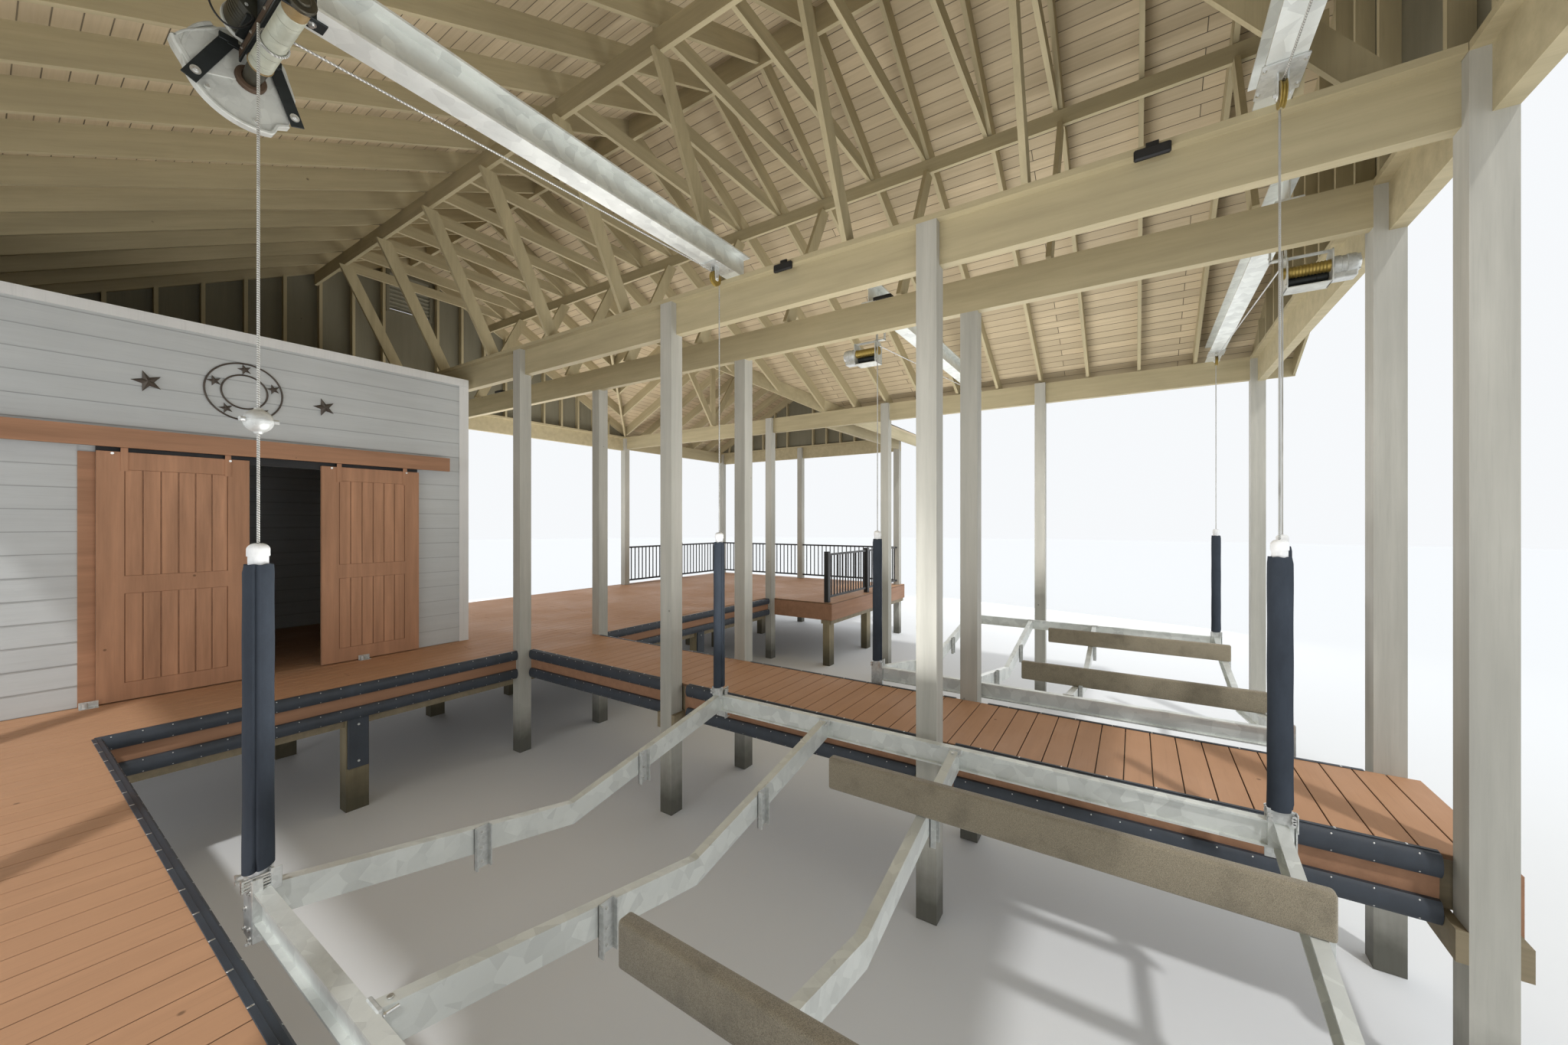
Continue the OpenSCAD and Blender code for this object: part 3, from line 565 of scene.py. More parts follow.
class BOATHOUSE_OT_finishes(bpy.types.Operator):
    """Builds every coat and material and lays them on the CAD nodes"""

    bl_idname = "boathouse.finishes"
    bl_label = "Finishes"

    def execute(self, context):
        tones, sizes = context.scene.boathouse_colours, context.scene.boathouse_sizes
        main_ridge, wing_ridge = (RIDGE_X, 0, 0), (0, WING_MID, 0)
        self.coats(tones)

        wood_coat("post_paint", tones.posts, upright, wet=True)
        wood_coat("treated_timber", linear(150, 138, 110), upright, wet=True, contrast=0.3)
        # Painted shade: a darker copy of the treated timber for the pile caps and joists, which sit in shade
        # under the deck
        wood_coat("joist_timber", linear(140, 128, 104), lengthways, contrast=0.25)
        wood_coat("frame_across", tones.frame, crossways)
        wood_coat("frame_along", tones.frame, lengthways)
        wood_coat("frame_upright", tones.frame, upright)
        for name, ridge, turn in (
            ("rafter_main", main_ridge, (0, -PITCH, 0)),
            ("rafter_wing", wing_ridge, (PITCH, 0, -QUARTER)),
        ):
            wood_coat(name, tones.frame, lambda made: made.mapped(made.folded(ridge), turn=turn))
        wood_coat("gable_paint", tones.gable, upright, contrast=0.1)
        self.lap_siding(tones.siding, sizes.lap)
        wood_coat("white_trim", tones.trim, upright, contrast=0.04)
        wood_coat("door_stain", tones.doors, upright, contrast=0.24, grain_depth=0.0018)
        wood_coat("door_panel", shade(tones.doors, 1.06), upright, contrast=0.3, grain_depth=0.002)
        wood_coat("header_stain", shade(tones.doors, 0.88), crossways, contrast=0.24)
        wood_coat("fascia_stain", shade(tones.doors, 0.72), crossways, contrast=0.2)
        wood_coat("rail_paint", linear(46, 46, 46), upright, contrast=0.1, rough=(0.35, 0.5))
        deck = wood_coat("deck_board", tones.deck, crossways, contrast=0.07, grain_depth=0.0015)
        # Painted shade: the sides of the boards below their top are darkened so the gaps between boards read
        # dark
        sides = deck.spread(deck.parts(deck.object)[2], DECK_TOP - 0.005, DECK_TOP - 0.001, 0.85, 0.0)
        deck.over(sides, shade(tones.deck, 0.2))

        board_length, shingle_length = 3.66, 0.31
        slope = 1 / math.cos(PITCH)
        for name, along, across, ridge in (
            ("roof_boards_main", 1, 0, main_ridge),
            ("roof_boards_wing", 0, 1, wing_ridge),
        ):
            board_finish(
                name,
                tones.roof_boards,
                lambda made: made.parts(made.object)[along],
                lambda made: made.maths("MULTIPLY", made.parts(made.folded(ridge))[across], slope),
                sizes.roof_board,
                board_length,
            )
        shingles = board_finish(
            "shingles",
            tones.roofing,
            lambda made: made.parts(made.node("ShaderNodeUVMap", uv_map="lay").outputs[0])[0],
            lambda made: made.parts(made.node("ShaderNodeUVMap", uv_map="lay").outputs[0])[1],
            sizes.course,
            shingle_length,
        )
        shingles.feed("Specular IOR Level", 0.2)
        self.lay()
        return {"FINISHED"}

    @staticmethod
    def lap_siding(colour, lap):
        """Siding whose grain runs round the walls, with a painted shadow line under each lap."""

        def round_walls(made):
            x, y, z = made.parts(made.object)
            return made.joined(made.maths("ADD", x, y), z)

        made = wood_coat("siding", colour, round_walls, contrast=0.06, grain_depth=0.0022)
        height = made.maths("SUBTRACT", made.parts(made.object)[2], DECK_TOP + 0.004)
        course = made.maths("FRACT", made.maths("DIVIDE", height, lap))
        # Painted shadow: foot and head darken each course at its lower edge and just under the butt of the
        # lap above
        foot, head = made.spread(course, 0.0, 0.05, 0.25, 0.0), made.spread(course, 0.965, 0.99, 0.0, 0.6)
        made.over(made.maths("ADD", foot, head), shade(colour, 0.3))

    def coats(self, tones):
        """Metals, plastics, carpet and cast parts."""
        metal_coat("aluminium", linear(224, 227, 222), metallic=0.35, cell=14.0, stain=0.25)
        metal_coat("galvanised", linear(206, 208, 205), metallic=0.45, cell=60.0, stain=0.5)
        metal_coat("cast", linear(196, 197, 190), rough=(0.5, 0.7), metallic=0.25, stain=0.6)
        metal_coat("pipe", linear(178, 180, 164), rough=(0.4, 0.6), metallic=0.3, stain=0.4)
        metal_coat("black_steel", linear(40, 44, 44), rough=(0.35, 0.6), metallic=0.4, stain=0.5)
        metal_coat("motor_green", linear(52, 50, 38), rough=(0.3, 0.5), metallic=0.2, stain=0.6)
        metal_coat("greasy_steel", linear(76, 72, 60), rough=(0.3, 0.5), metallic=0.6, stain=0.7)
        metal_coat("tan_grease", linear(140, 118, 78), rough=(0.4, 0.6), metallic=0.1, stain=0.6)
        metal_coat("rust", linear(78, 60, 44), rough=(0.6, 0.8), metallic=0.2, stain=0.6)
        metal_coat("brass", linear(160, 138, 74), rough=(0.35, 0.5), metallic=0.7, stain=0.5)
        metal_coat("iron", linear(92, 84, 76), rough=(0.45, 0.65), metallic=0.4, stain=0.6)
        metal_coat("bright_screw", linear(225, 225, 222), rough=(0.25, 0.4), metallic=0.9, cell=200.0)

        cable = Finish("cable", metallic=0.8, specular=0.5)
        x, y, z = cable.parts(cable.object)
        around = cable.maths("MULTIPLY", cable.maths("ADD", x, y), 420.0)
        strands = cable.maths("SINE", cable.maths("ADD", around, cable.maths("MULTIPLY", z, 700.0)))
        grime = cable.noise(cable.object, 9.0)
        # Painted shade: the wire's colour darkens towards the grooves between its strands
        tone = cable.mix(cable.spread(strands, -1, 1), linear(150, 150, 146), linear(224, 224, 220))
        cable.feed("Base Color", cable.mix(cable.spread(grime, 0.5, 0.8, 0, 0.5), tone, linear(120, 112, 96)))
        cable.feed("Roughness", cable.spread(grime, 0.3, 0.7, 0.35, 0.55))
        cable.relief(strands, 0.7, 0.001)

        for name, colour, scale, sheen, rough in (
            ("bumper", tones.bumper, 40.0, 0.45, 0.42),
            ("cover", shade(tones.bumper, 1.1), 300.0, 0.12, 0.7),
            ("cap_plastic", linear(236, 237, 236), 90.0, 0.45, 0.42),
            ("lamp_black", linear(28, 28, 28), 90.0, 0.45, 0.42),
        ):
            made = Finish(name, specular=sheen)
            scuff = made.noise(made.mapped(made.object, scale=(1, 1, 0.4)), 7.0, 6.0, 0.7)
            tone = made.mix(made.spread(scuff, 0.35, 0.65), shade(colour, 0.82), shade(colour, 1.15))
            tone = made.mix(made.spread(scuff, 0.62, 0.8, 0, 0.5), tone, shade(colour, 1.7))
            made.feed("Base Color", tone)
            made.feed("Roughness", made.spread(scuff, 0.3, 0.7, rough, rough + 0.2))
            made.relief(made.noise(made.object, scale, 2.0), 0.25, 0.001)

        carpet = Finish("carpet", roughness=0.95, specular=0.1)
        pile = carpet.noise(carpet.object, 420.0, 2.0)
        worn = carpet.noise(carpet.object, 8.0, 5.0)
        tone = carpet.mix(carpet.spread(pile, 0.3, 0.7), linear(118, 108, 90), linear(172, 162, 140))
        carpet.feed("Base Color", carpet.mix(carpet.spread(worn, 0.5, 0.8, 0, 0.5), tone, linear(96, 90, 78)))
        carpet.shader.inputs["Sheen Weight"].default_value = 0.3
        carpet.relief(pile, 0.8, 0.003)

    @staticmethod
    def lay():
        """Gives each CAD node that stays in view its finish."""
        wear = {
            "post_paint": ["posts"],
            "treated_timber": ["dock_piles"],
            "joist_timber": ["pile_caps", "joists"],
            "fascia_stain": ["dock_fascia"],
            "bumper": ["slip_bumpers"],
            "deck_board": ["walkway_decks", "land_deck", "wing_deck"],
            "rail_paint": ["wing_rail"],
            "frame_along": ["beams", "beam_caps", "ridge_boards", "purlins"],
            "frame_across": ["wing_beams", "collar_ties", "roof_fascia", "store_ceiling"],
            "rafter_main": ["main_rafters"],
            "rafter_wing": ["wing_rafters", "valley_rafters"],
            "frame_upright": ["struts", "gable_studs"],
            "roof_boards_main": ["near_roof", "far_roof"],
            "roof_boards_wing": ["wing_lake_roof", "wing_land_roof"],
            "gable_paint": ["gable_walls"],
            "siding": ["store_front", "store_lintel", "store_walls"],
            "white_trim": ["store_trim"],
            "header_stain": ["door_frame"],
            "door_stain": ["left_door", "right_door"],
            "aluminium": ["hoist_beams", "hoist_gear", "cradle_a", "cradle_b"],
            "cable": ["cable_runs", "cables_a", "cables_b"],
            "carpet": ["bunks_a", "bunks_b"],
            "cover": ["guides_a", "guides_b"],
        }
        for finish, nodes in wear.items():
            for name in nodes:
                piece = frame["nodes"][name]
                if piece.material_slots:
                    piece.material_slots[0].material = FINISHES[finish]
                else:
                    piece.data.materials.append(FINISHES[finish])


class BOATHOUSE_OT_deck(bpy.types.Operator):
    """Lays the deck boards across walkways, land deck and wing, notched round the posts"""

    bl_idname = "boathouse.deck"
    bl_label = "Deck boards"

    def execute(self, context):
        sizes = context.scene.boathouse_sizes
        posts = solids_of("posts")
        first_row = spot(0, 7.27, 0).y
        for name, node in (
            ("walkway_boards", "walkway_decks"),
            ("land_boards", "land_deck"),
            ("wing_boards", "wing_deck"),
        ):
            shape = bmesh.new()
            for low, high in solids_of(node):
                self.rows(shape, low, high, first_row, sizes, posts)
            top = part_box(node)[1].z
            walked_on = [e for e in shape.edges if all(abs(v.co.z - top) < 1e-6 for v in e.verts)]
            ease(shape, walked_on, EASED)
            set_down(name, shape, "boathouse", "deck_board", [node])
        return {"FINISHED"}

    def rows(self, shape, low, high, first_row, sizes, posts):
        """Rows of boards over one deck, counted from a row that all decks share."""
        narrowest = 0.015
        row = math.floor((low.y - first_row) / sizes.deck_pitch)
        while first_row + row * sizes.deck_pitch < high.y:
            start = first_row + row * sizes.deck_pitch + sizes.deck_gap / 2
            y0, y1 = max(low.y, start), min(high.y, start + sizes.deck_pitch - sizes.deck_gap)
            if y1 - y0 > narrowest:
                self.row(shape, low, high, y0, y1, row, posts)
            row += 1

    def row(self, shape, low, high, y0, y1, row, posts):
        """One row of boards: butt joints by turns, a notch at each post that it meets."""
        loose, half_joint, stagger, length, shortest = 0.004, 0.0015, 1.22, 3.66, 0.01
        cuts, notches = [], []
        for post_low, post_high in posts:
            lake, land = post_low.y - loose, post_high.y + loose
            if post_high.z < high.z or lake >= y1 or land <= y0:
                continue
            a, b = post_low.x - loose, post_high.x + loose
            if min(b, high.x) - max(a, low.x) < 3 * loose:
                continue
            if lake <= y0 and land >= y1:
                cuts.append((a, b))
            elif lake <= y0:
                notches.append((a, b, 0, land))
            else:
                notches.append((a, b, 1, lake))
        for joint in paces(low.x + 2 * stagger + stagger * (row % 3), high.x - 0.6, length):
            if not any(a - 0.1 < joint < b + 0.1 for a, b, *_ in cuts + notches):
                cuts.append((joint - half_joint, joint + half_joint))
        ends = [low.x] + [x for cut in sorted(cuts) for x in cut] + [high.x]
        for x0, x1 in zip(ends[::2], ends[1::2]):
            if x1 - x0 < shortest:
                continue
            lower, upper = [(x0, y0)], []
            for a, b, side, depth in sorted(n for n in notches if n[0] < x1 and n[1] > x0):
                a, b = max(a, x0), min(b, x1)
                if side == 0:
                    lower += [(a, y0), (a, depth), (b, depth), (b, y0)]
                else:
                    upper = [(b, y1), (b, depth), (a, depth), (a, y1)] + upper
            outline = lower + [(x1, y0), (x1, y1)] + upper + [(x0, y1)]
            tidy = [p for p, q in zip(outline, outline[1:] + outline[:1]) if math.dist(p, q) > 1e-6]
            cut_out(shape, [(x, y, high.z) for x, y in tidy], (0, 0, low.z - high.z))


class BOATHOUSE_OT_siding(bpy.types.Operator):
    """Clads the store room with lap boards and gives its corners trim"""

    bl_idname = "boathouse.siding"
    bl_label = "Siding"

    def execute(self, context):
        lap = context.scene.boathouse_sizes.lap
        front, left, right, back = STORE_FRONT, STORE_LOW.x, STORE_HIGH.x, STORE_HIGH.y
        opening_low, opening_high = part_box("store_lintel")
        wide, thick = 0.09, 0.02
        floor, top, eave = DECK_TOP, STORE_HIGH.z - wide, STORE_HIGH.z
        shape = bmesh.new()
        for z in paces(floor + 0.004, top, lap):
            z1 = min(z + lap, top)
            spans = [(left, right - wide)]
            if z < opening_low.z:
                spans = [(left, opening_low.x - wide), (opening_high.x + wide, right - wide)]
            for x0, x1 in spans:
                self.course(shape, (x0, front), (x1, front), (0, -1), z, z1)
            self.course(shape, (left, front), (left, back), (-1, 0), z, z1)
            self.course(shape, (right, front + wide), (right, back), (1, 0), z, z1)
            self.course(shape, (left, back), (right, back), (0, 1), z, z1)
        set_down("store_siding", shape, "boathouse", "siding")

        shape = bmesh.new()
        for low, high in (
            ((left - thick, back - wide, floor), (left, back + thick, top)),
            ((left, back, floor), (left + wide, back + thick, top)),
            ((right, back - wide, floor), (right + thick, back + thick, top)),
            ((right - wide, back, floor), (right, back + thick, top)),
            ((left - thick, front - thick, floor), (left, front + wide, top)),
            ((left - thick, front + wide, top), (left, back + thick, eave)),
            ((right, front + wide, top), (right + thick, back + thick, eave)),
            ((left, back, top), (right, back + thick, eave)),
        ):
            block(shape, low, high, EASED)
        set_down("store_corner_trim", shape, "boathouse", "white_trim")
        return {"FINISHED"}

    def course(self, shape, start, end, out, z0, z1):
        """One lap board from start to end, thick at its lower edge."""
        start, end = Vector((*start, 0)), Vector((*end, 0))
        out = Vector((*out, 0))
        thick, thin, lap_over = 0.012, 0.0045, 0.001
        section = ((0, z0), (thick, z0), (thin, z1 + lap_over), (0, z1 + lap_over))
        cut_out(shape, [start + out * d + Vector((0, 0, z)) for d, z in section], end - start)


class BOATHOUSE_OT_doors(bpy.types.Operator):
    """Sets boards into both door leaves, with their hangers and floor guides"""

    bl_idname = "boathouse.doors"
    bl_label = "Doors"

    def execute(self, context):
        count = context.scene.boathouse_sizes.door_boards
        front, back, bottom = STORE_FRONT - 0.07, STORE_FRONT - 0.03, DECK_TOP + 0.01
        stile, rail, height, hanger = 0.145, 0.895, 2.08, 2.065
        for side in ("left", "right"):
            low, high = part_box(side + "_door")
            boards, grooves = bmesh.new(), bmesh.new()
            for z0, z1 in ((bottom + stile, bottom + rail), (bottom + rail + stile, bottom + height - stile)):
                self.panel(boards, grooves, (low.x + stile, high.x - stile), (front, back), (z0, z1), count)
            set_down(side + "_door_boards", boards, side + "_leaf", "door_panel")
            # The dark strips behind the board joints are painted shade
            set_down(side + "_door_groove_shade", grooves, side + "_leaf", "fascia_stain")

            shape = bmesh.new()
            for x in (low.x + 0.081, high.x - 0.131):
                rod(shape, (x, front, bottom + hanger), (x, front - 0.01, bottom + hanger), 0.01, 12)
            set_down(side + "_door_bolts", shape, side + "_leaf", "bright_screw", smooth=30)

        # A black strip across the top of the opening, under the track: painted shadow
        shape = bmesh.new()
        left_low, right_low, right_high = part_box("left_door")[0], *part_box("right_door")
        low = (left_low.x, STORE_FRONT - 0.0285, DECK_TOP + 2.05)
        block(shape, low, (right_high.x, STORE_FRONT - 0.0135, DECK_TOP + 2.13))
        set_down("door_track_shade", shape, "boathouse", "lamp_black")

        shape = bmesh.new()
        y, plate = STORE_FRONT - 0.075, DECK_TOP + 0.005
        for x in (left_low.x - 0.04, right_low.x + 0.36):
            block(shape, (x - 0.05, y - 0.06, DECK_TOP), (x + 0.05, y - 0.002, plate), 0.001)
            block(shape, (x - 0.05, y - 0.012, plate), (x + 0.05, y - 0.004, DECK_TOP + 0.05), 0.001)
            rod(shape, (x - 0.02, y - 0.032, plate), (x - 0.02, y - 0.032, DECK_TOP + 0.045), 0.016, 16)
            bolt(shape, (x + 0.028, y - 0.035, plate), (0, 0, 1), 0.009)
        set_down("door_floor_guides", shape, "boathouse", "galvanised", smooth=30)
        return {"FINISHED"}

    def panel(self, boards, grooves, across, faces, heights, count):
        """One panel of upright boards between two stiles, with dark strips behind their joints as painted
        shade in the grooves.
        """
        gap, strip, shy, play, top, deep, soft = 0.0045, 0.005, 0.0005, 0.001, 0.004, 0.0105, 0.0025
        first, last = across
        front, back = faces
        z0, z1 = heights[0] + play, heights[1] - play
        width = (last - first) / count
        # Painted shade: a dark strip behind each joint between boards
        for k in range(count + 1):
            x = first + k * width
            x0, x1 = max(x - strip, first + shy), min(x + strip, last - shy)
            block(grooves, (x0, front + 0.0096, z0), (x1, front + 0.0106, z1))
        for k in range(count):
            x0, x1 = first + k * width + gap, first + (k + 1) * width - gap
            for y0, y1 in ((front + top, front + deep), (back - deep, back - top)):
                block(boards, (x0, y0, z0), (x1, y1, z1), soft)


class BOATHOUSE_OT_wall_stars(bpy.types.Operator):
    """Hangs two plain stars and a plain double ring over the doors"""

    bl_idname = "boathouse.wall_stars"
    bl_label = "Wall stars and ring"

    def execute(self, context):
        wall = STORE_FRONT - 0.013
        shape = bmesh.new()
        for x, z in ((1.313, 3.90), (2.523, 3.892)):
            self.star(shape, Vector((spot(x, 0, z).x, wall, z)), 0.095, 0.03)
        ring = Vector((spot(1.919, 0, 0).x, wall, 3.93))
        half, rise = 0.007, 0.006
        for radius in (0.27, 0.16):
            inner, outer = radius - half, radius + half
            outline = [(inner, 0), (inner, rise), (radius, rise * 1.8), (outer, rise), (outer, 0), (inner, 0)]
            turned(shape, outline, ring, (0, -1, 0), 64)
        for k in range(5):
            angle = QUARTER + k * 2 * math.pi / 5
            centre = ring + Vector((math.cos(angle) * 0.215, -0.001, math.sin(angle) * 0.215))
            self.star(shape, centre, 0.052, 0.012)
        set_down("wall_stars", shape, "boathouse", "iron")
        return {"FINISHED"}

    def star(self, shape, centre, reach, depth):
        """A five-pointed star with a raised middle."""

        def turn_of(vert):
            away = vert.co - centre
            return round(math.atan2(away.z, away.x) - QUARTER, 4) % 6.2832

        upended = Matrix.Rotation(QUARTER, 4, "X") @ Matrix.Rotation(QUARTER, 4, "Z")
        place = Matrix.Translation(centre) @ upended
        made = bmesh.ops.create_circle(shape, cap_ends=True, segments=10, radius=reach, matrix=place)
        verts = made["verts"]
        notches = sorted(verts, key=turn_of)[1::2]
        bmesh.ops.scale(shape, vec=(0.4, 1, 0.4), space=Matrix.Translation(-centre), verts=notches)
        face = next(f for f in shape.faces if set(f.verts) == set(verts))
        front = picked(bmesh.ops.extrude_face_region(shape, geom=[face]), BMFace)[0]
        bmesh.ops.translate(shape, vec=(0, -0.004, 0), verts=list(front.verts))
        tip = bmesh.ops.poke(shape, faces=[front])["verts"]
        bmesh.ops.translate(shape, vec=(0, -depth, 0), verts=tip)


class BOATHOUSE_OT_bumpers(bpy.types.Operator):
    """Screws the bumpers down and fixes rubbing boards to the slip piles"""

    bl_idname = "boathouse.bumpers"
    bl_label = "Bumper screws"

    def execute(self, context):
        gap = context.scene.boathouse_sizes.screw_gap
        shape, places = bmesh.new(), []
        for low, high in solids_of("slip_bumpers"):
            along = 1 if high.y - low.y > high.x - low.x else 0
            water = self.water_side(high, along)
            place = (low + high) / 2
            place[1 - along] = (high if water > 0 else low)[1 - along] - water * 0.0155
            for z in (low.z + 0.013, high.z - 0.013):
                for reach in paces(low[along] + 0.07, high[along] - 0.05, gap):
                    place[along], place.z = reach, z
                    places.append(Matrix.Translation(place))
        head = bmesh.new()
        bmesh.ops.create_icosphere(head, subdivisions=1, radius=0.0065)
        copies(shape, head, places)

        flanges = bmesh.new()
        for low, high in solids_of("slip_bumpers"):
            if abs(high.z - DECK_TOP) > 0.01 or high.y - low.y < high.x - low.x:
                continue
            water = self.water_side(high, 1)
            edge = low.x if water > 0 else high.x
            x0, x1 = sorted((edge - water * 0.016, edge + water * 0.005))
            block(flanges, (x0, low.y, DECK_TOP + 0.0005), (x1, high.y, DECK_TOP + 0.0045), 0.0015)
            x = edge - water * 0.007
            z0, z1 = DECK_TOP + 0.0043, DECK_TOP + 0.0058
            for reach in paces(low.y + 0.1, high.y - 0.03, gap * 1.65):
                block(shape, (x - 0.009, reach - 0.004, z0), (x + 0.009, reach + 0.004, z1), 0.0005)
        set_down("bumper_flanges", flanges, "boathouse", "bumper")
        set_down("bumper_screws", shape, "boathouse", "bright_screw", smooth=60)

        shape, screws = bmesh.new(), bmesh.new()
        thick = 0.03
        for low, high in solids_of("dock_piles"):
            middle = (low + high) / 2
            if abs(middle.y - spot(0, 7.425, 0).y) > 0.1 or middle.x < spot(1.2, 0, 0).x:
                continue
            block(shape, (low.x + 0.01, low.y - thick, 0.4), (high.x - 0.01, low.y, 0.86), 0.004)
            bolts_at(screws, [(middle.x, low.y - thick, z) for z in (0.46, 0.8)], (0, -1, 0), 0.011)
        set_down("pile_rubbing_boards", shape, "boathouse", "bumper")
        set_down("pile_bolts", screws, "boathouse", "galvanised")
        return {"FINISHED"}

    @staticmethod
    def water_side(high, along):
        """Which way a bumper faces, 1 or -1 on the axis across it: the finger's near face looks to low x."""
        if along == 0:
            return -1
        return -1 if abs(high.x - spot(4.12, 0, 0).x) < 0.03 else 1


class BOATHOUSE_OT_winders(bpy.types.Operator):
    """Builds the first lift's winders, the second lift's winches and the sheaves of both"""

    bl_idname = "boathouse.winders"
    bl_label = "Winders, winches and sheaves"

    pieces = {
        "pipe": "winder_drums",
        "cast": "winder_housings",
        "black_steel": "winder_straps",
        "motor_green": "winder_motors",
        "greasy_steel": "winder_shafts",
        "tan_grease": "winder_collars",
        "rust": "winder_rails",
        "brass": "winch_drums",
        "galvanised": "lift_brackets",
        "bright_screw": "lift_bolts",
        "cable": "drum_turns",
    }

    def execute(self, context):
        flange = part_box("hoist_beams")[0].z
        shapes = {finish: bmesh.new() for finish in self.pieces}
        for lift, build, drop in (("a", self.winder, 0.185), ("b", self.winch, 0.38)):
            cables = [(low + high) / 2 for low, high in solids_of("cables_" + lift)]
            near, far = min(c.x for c in cables), max(c.x for c in cables)
            lake, land = min(c.y for c in cables), max(c.y for c in cables)
            for end, y in enumerate((lake, land)):
                turn = Matrix.Diagonal((1, 1 if end else -1, 1, 1))
                drum = Matrix.Translation((near + 0.045, y, flange - drop)) @ turn
                self.stamp(shapes, build, drum)
                self.stamp(shapes, self.sheave, Matrix.Translation((far - 0.05, y, flange - 0.1)))
                if lift == "a":
                    self.lead(("lake_motor_lead", "land_motor_lead")[end], drum)
        for finish, shape in shapes.items():
            stands_for = ["hoist_gear"] if finish == "pipe" else ()
            set_down(self.pieces[finish], shape, "boathouse", finish, stands_for, smooth=35)
        return {"FINISHED"}

    @staticmethod
    def stamp(shapes, build, place):
        """Builds one unit in its own space and adds it to the shapes at its place."""
        unit = {finish: bmesh.new() for finish in shapes}
        build(unit)
        for finish, shape in unit.items():
            copies(shapes[finish], shape, [place])

    def winder(self, unit):
        """A first-lift winder, its places counted from the drum's axis."""
        self.drum(unit)
        self.gear_housing(unit["cast"], unit["bright_screw"])
        self.straps(unit["black_steel"], unit["bright_screw"])
        block(unit["rust"], (-0.0365, -0.25, 0.066), (-0.0348, 0.31, 0.1), 0.0004)
        self.motor(unit)

    @staticmethod
    def drum(unit):
        """The pipe that winds the cable, with its seams, end collars, washers and shaft."""
        pipe_seams = ribs((-0.19, -0.08, 0.055, 0.125), ((0.039, 0), (0.037, 0.0015), (0.039, 0.003)))
        pipe_end = [(0.039, 0.173), (0.037, 0.175), (0, 0.175)]
        dark_seams = (-0.189, -0.079, 0.056, 0.126)
        collar = [(0, -0.3), (0.037, -0.3), (0.0385, -0.298), (0.0385, -0.243), (0.036, -0.2405)]
        lip = [(0.033, 0.168), (0.0415, 0.169), (0.0415, 0.176), (0.034, 0.181), (0.033, 0.168)]
        washer = [(0.029, 0.322), (0.029, 0.303), (0.032, 0.299), (0.046, 0.299), (0.05, 0.304)]
        stub = [(0, -0.335), (0.02, -0.335), (0.024, -0.331), (0.024, -0.3), (0, -0.3)]
        shaft = [(0, 0.171), (0.0345, 0.172), (0.0345, 0.2), (0.031, 0.27), (0.0285, 0.3)]
        shaft += [(0.0285, 0.388), (0.024, 0.396), (0, 0.396)]
        nut = [(0.0242, -0.326), (0.04, -0.326), (0.044, -0.322), (0.044, -0.31), (0.0242, -0.31)]
        for finish, outline in (
            ("pipe", [(0, -0.24), (0.0375, -0.24), (0.039, -0.238), *pipe_seams, *pipe_end]),
            ("tan_grease", [*collar, (0, -0.2405)]),
            ("tan_grease", lip),
            ("rust", [*washer, (0.05, 0.322), washer[0]]),
            *(("greasy_steel", hoop(0.0365, 0.0385, y - 0.001, y + 0.001)) for y in dark_seams),
            ("greasy_steel", stub),
            ("greasy_steel", shaft),
            ("greasy_steel", [*nut, nut[0]]),
        ):
            turned(unit[finish], outline, *DRUM)
        middle, around = 0.0445, [k * math.pi / 4 for k in range(9)]
        wire = [(middle + CABLE_RADIUS * math.cos(a), CABLE_RADIUS * math.sin(a)) for a in around]
        turned(unit["cable"], wire, *DRUM, 48)

    @staticmethod
    def gear_housing(cast, bolts):
        """The half-moon casting at the drum's end, with its rim, studs, raised lobe and rib."""
        gear = 0.316
        notch = ((296, 0.179), (302, 0.163), (309, 0.165), (317, 0.172))
        rim = arc(0.193, 126, 291) + [at_turn(radius, turn) for turn, radius in notch]
        face = rim + [Vector((0.149, 0, 0.013)), Vector((0.112, 0, 0.135)), Vector((0.09, 0, 0.155))]
        cut_out(cast, shifted(face, y=gear + 0.009), (0, 0.027, 0), 0.002)
        cut_out(cast, band(shifted(rim, y=gear), 0.014), (0, 0.04, 0), 0.003)
        for turn, radius in ((221, 0.166), (277, 0.162)):
            stud = at_turn(radius, turn, gear)
            rod(cast, stud + Vector((0, 0.003, 0)), stud + Vector((0, 0.03, 0)), 0.011, 16)
            rod(bolts, stud + Vector((0, -0.003, 0)), stud + Vector((0, 0.004, 0)), 0.0065, 6)

        edge_knots = ((-0.22, 0.03), (-0.186, 0.075), (-0.142, 0.112), (-0.095, 0.152), (-0.046, 0.187))
        edge = smooth_path([(x, gear, z) for x, z in edge_knots], 4)
        lobe = edge + [Vector((x, gear, z)) for x, z in ((0.02, 0.13), (-0.03, -0.02), (-0.164, -0.07))]
        cut_out(cast, shifted(lobe, y=0.002), (0, 0.01, 0), 0.001)
        cut_out(cast, band(shifted(edge, 0.002, -0.002, -0.002), 0.008), (0, 0.05, 0), 0.002)
        end = [Vector((x, gear - 0.002, z)) for x, z in ((-0.217, 0.04), (-0.206, 0.008), (-0.163, -0.066))]
        cut_out(cast, band(end, 0.026), (0, 0.062, 0), 0.007)
        rib_knots = ((-0.15, -0.02), (-0.144, 0.012), (-0.13, 0.051), (-0.094, 0.11), (-0.05, 0.147))
        rib = smooth_path([(x, gear - 0.003, z) for x, z in rib_knots], 4)
        cut_out(cast, band(rib, 0.006), (0, 0.006, 0), 0.0015)

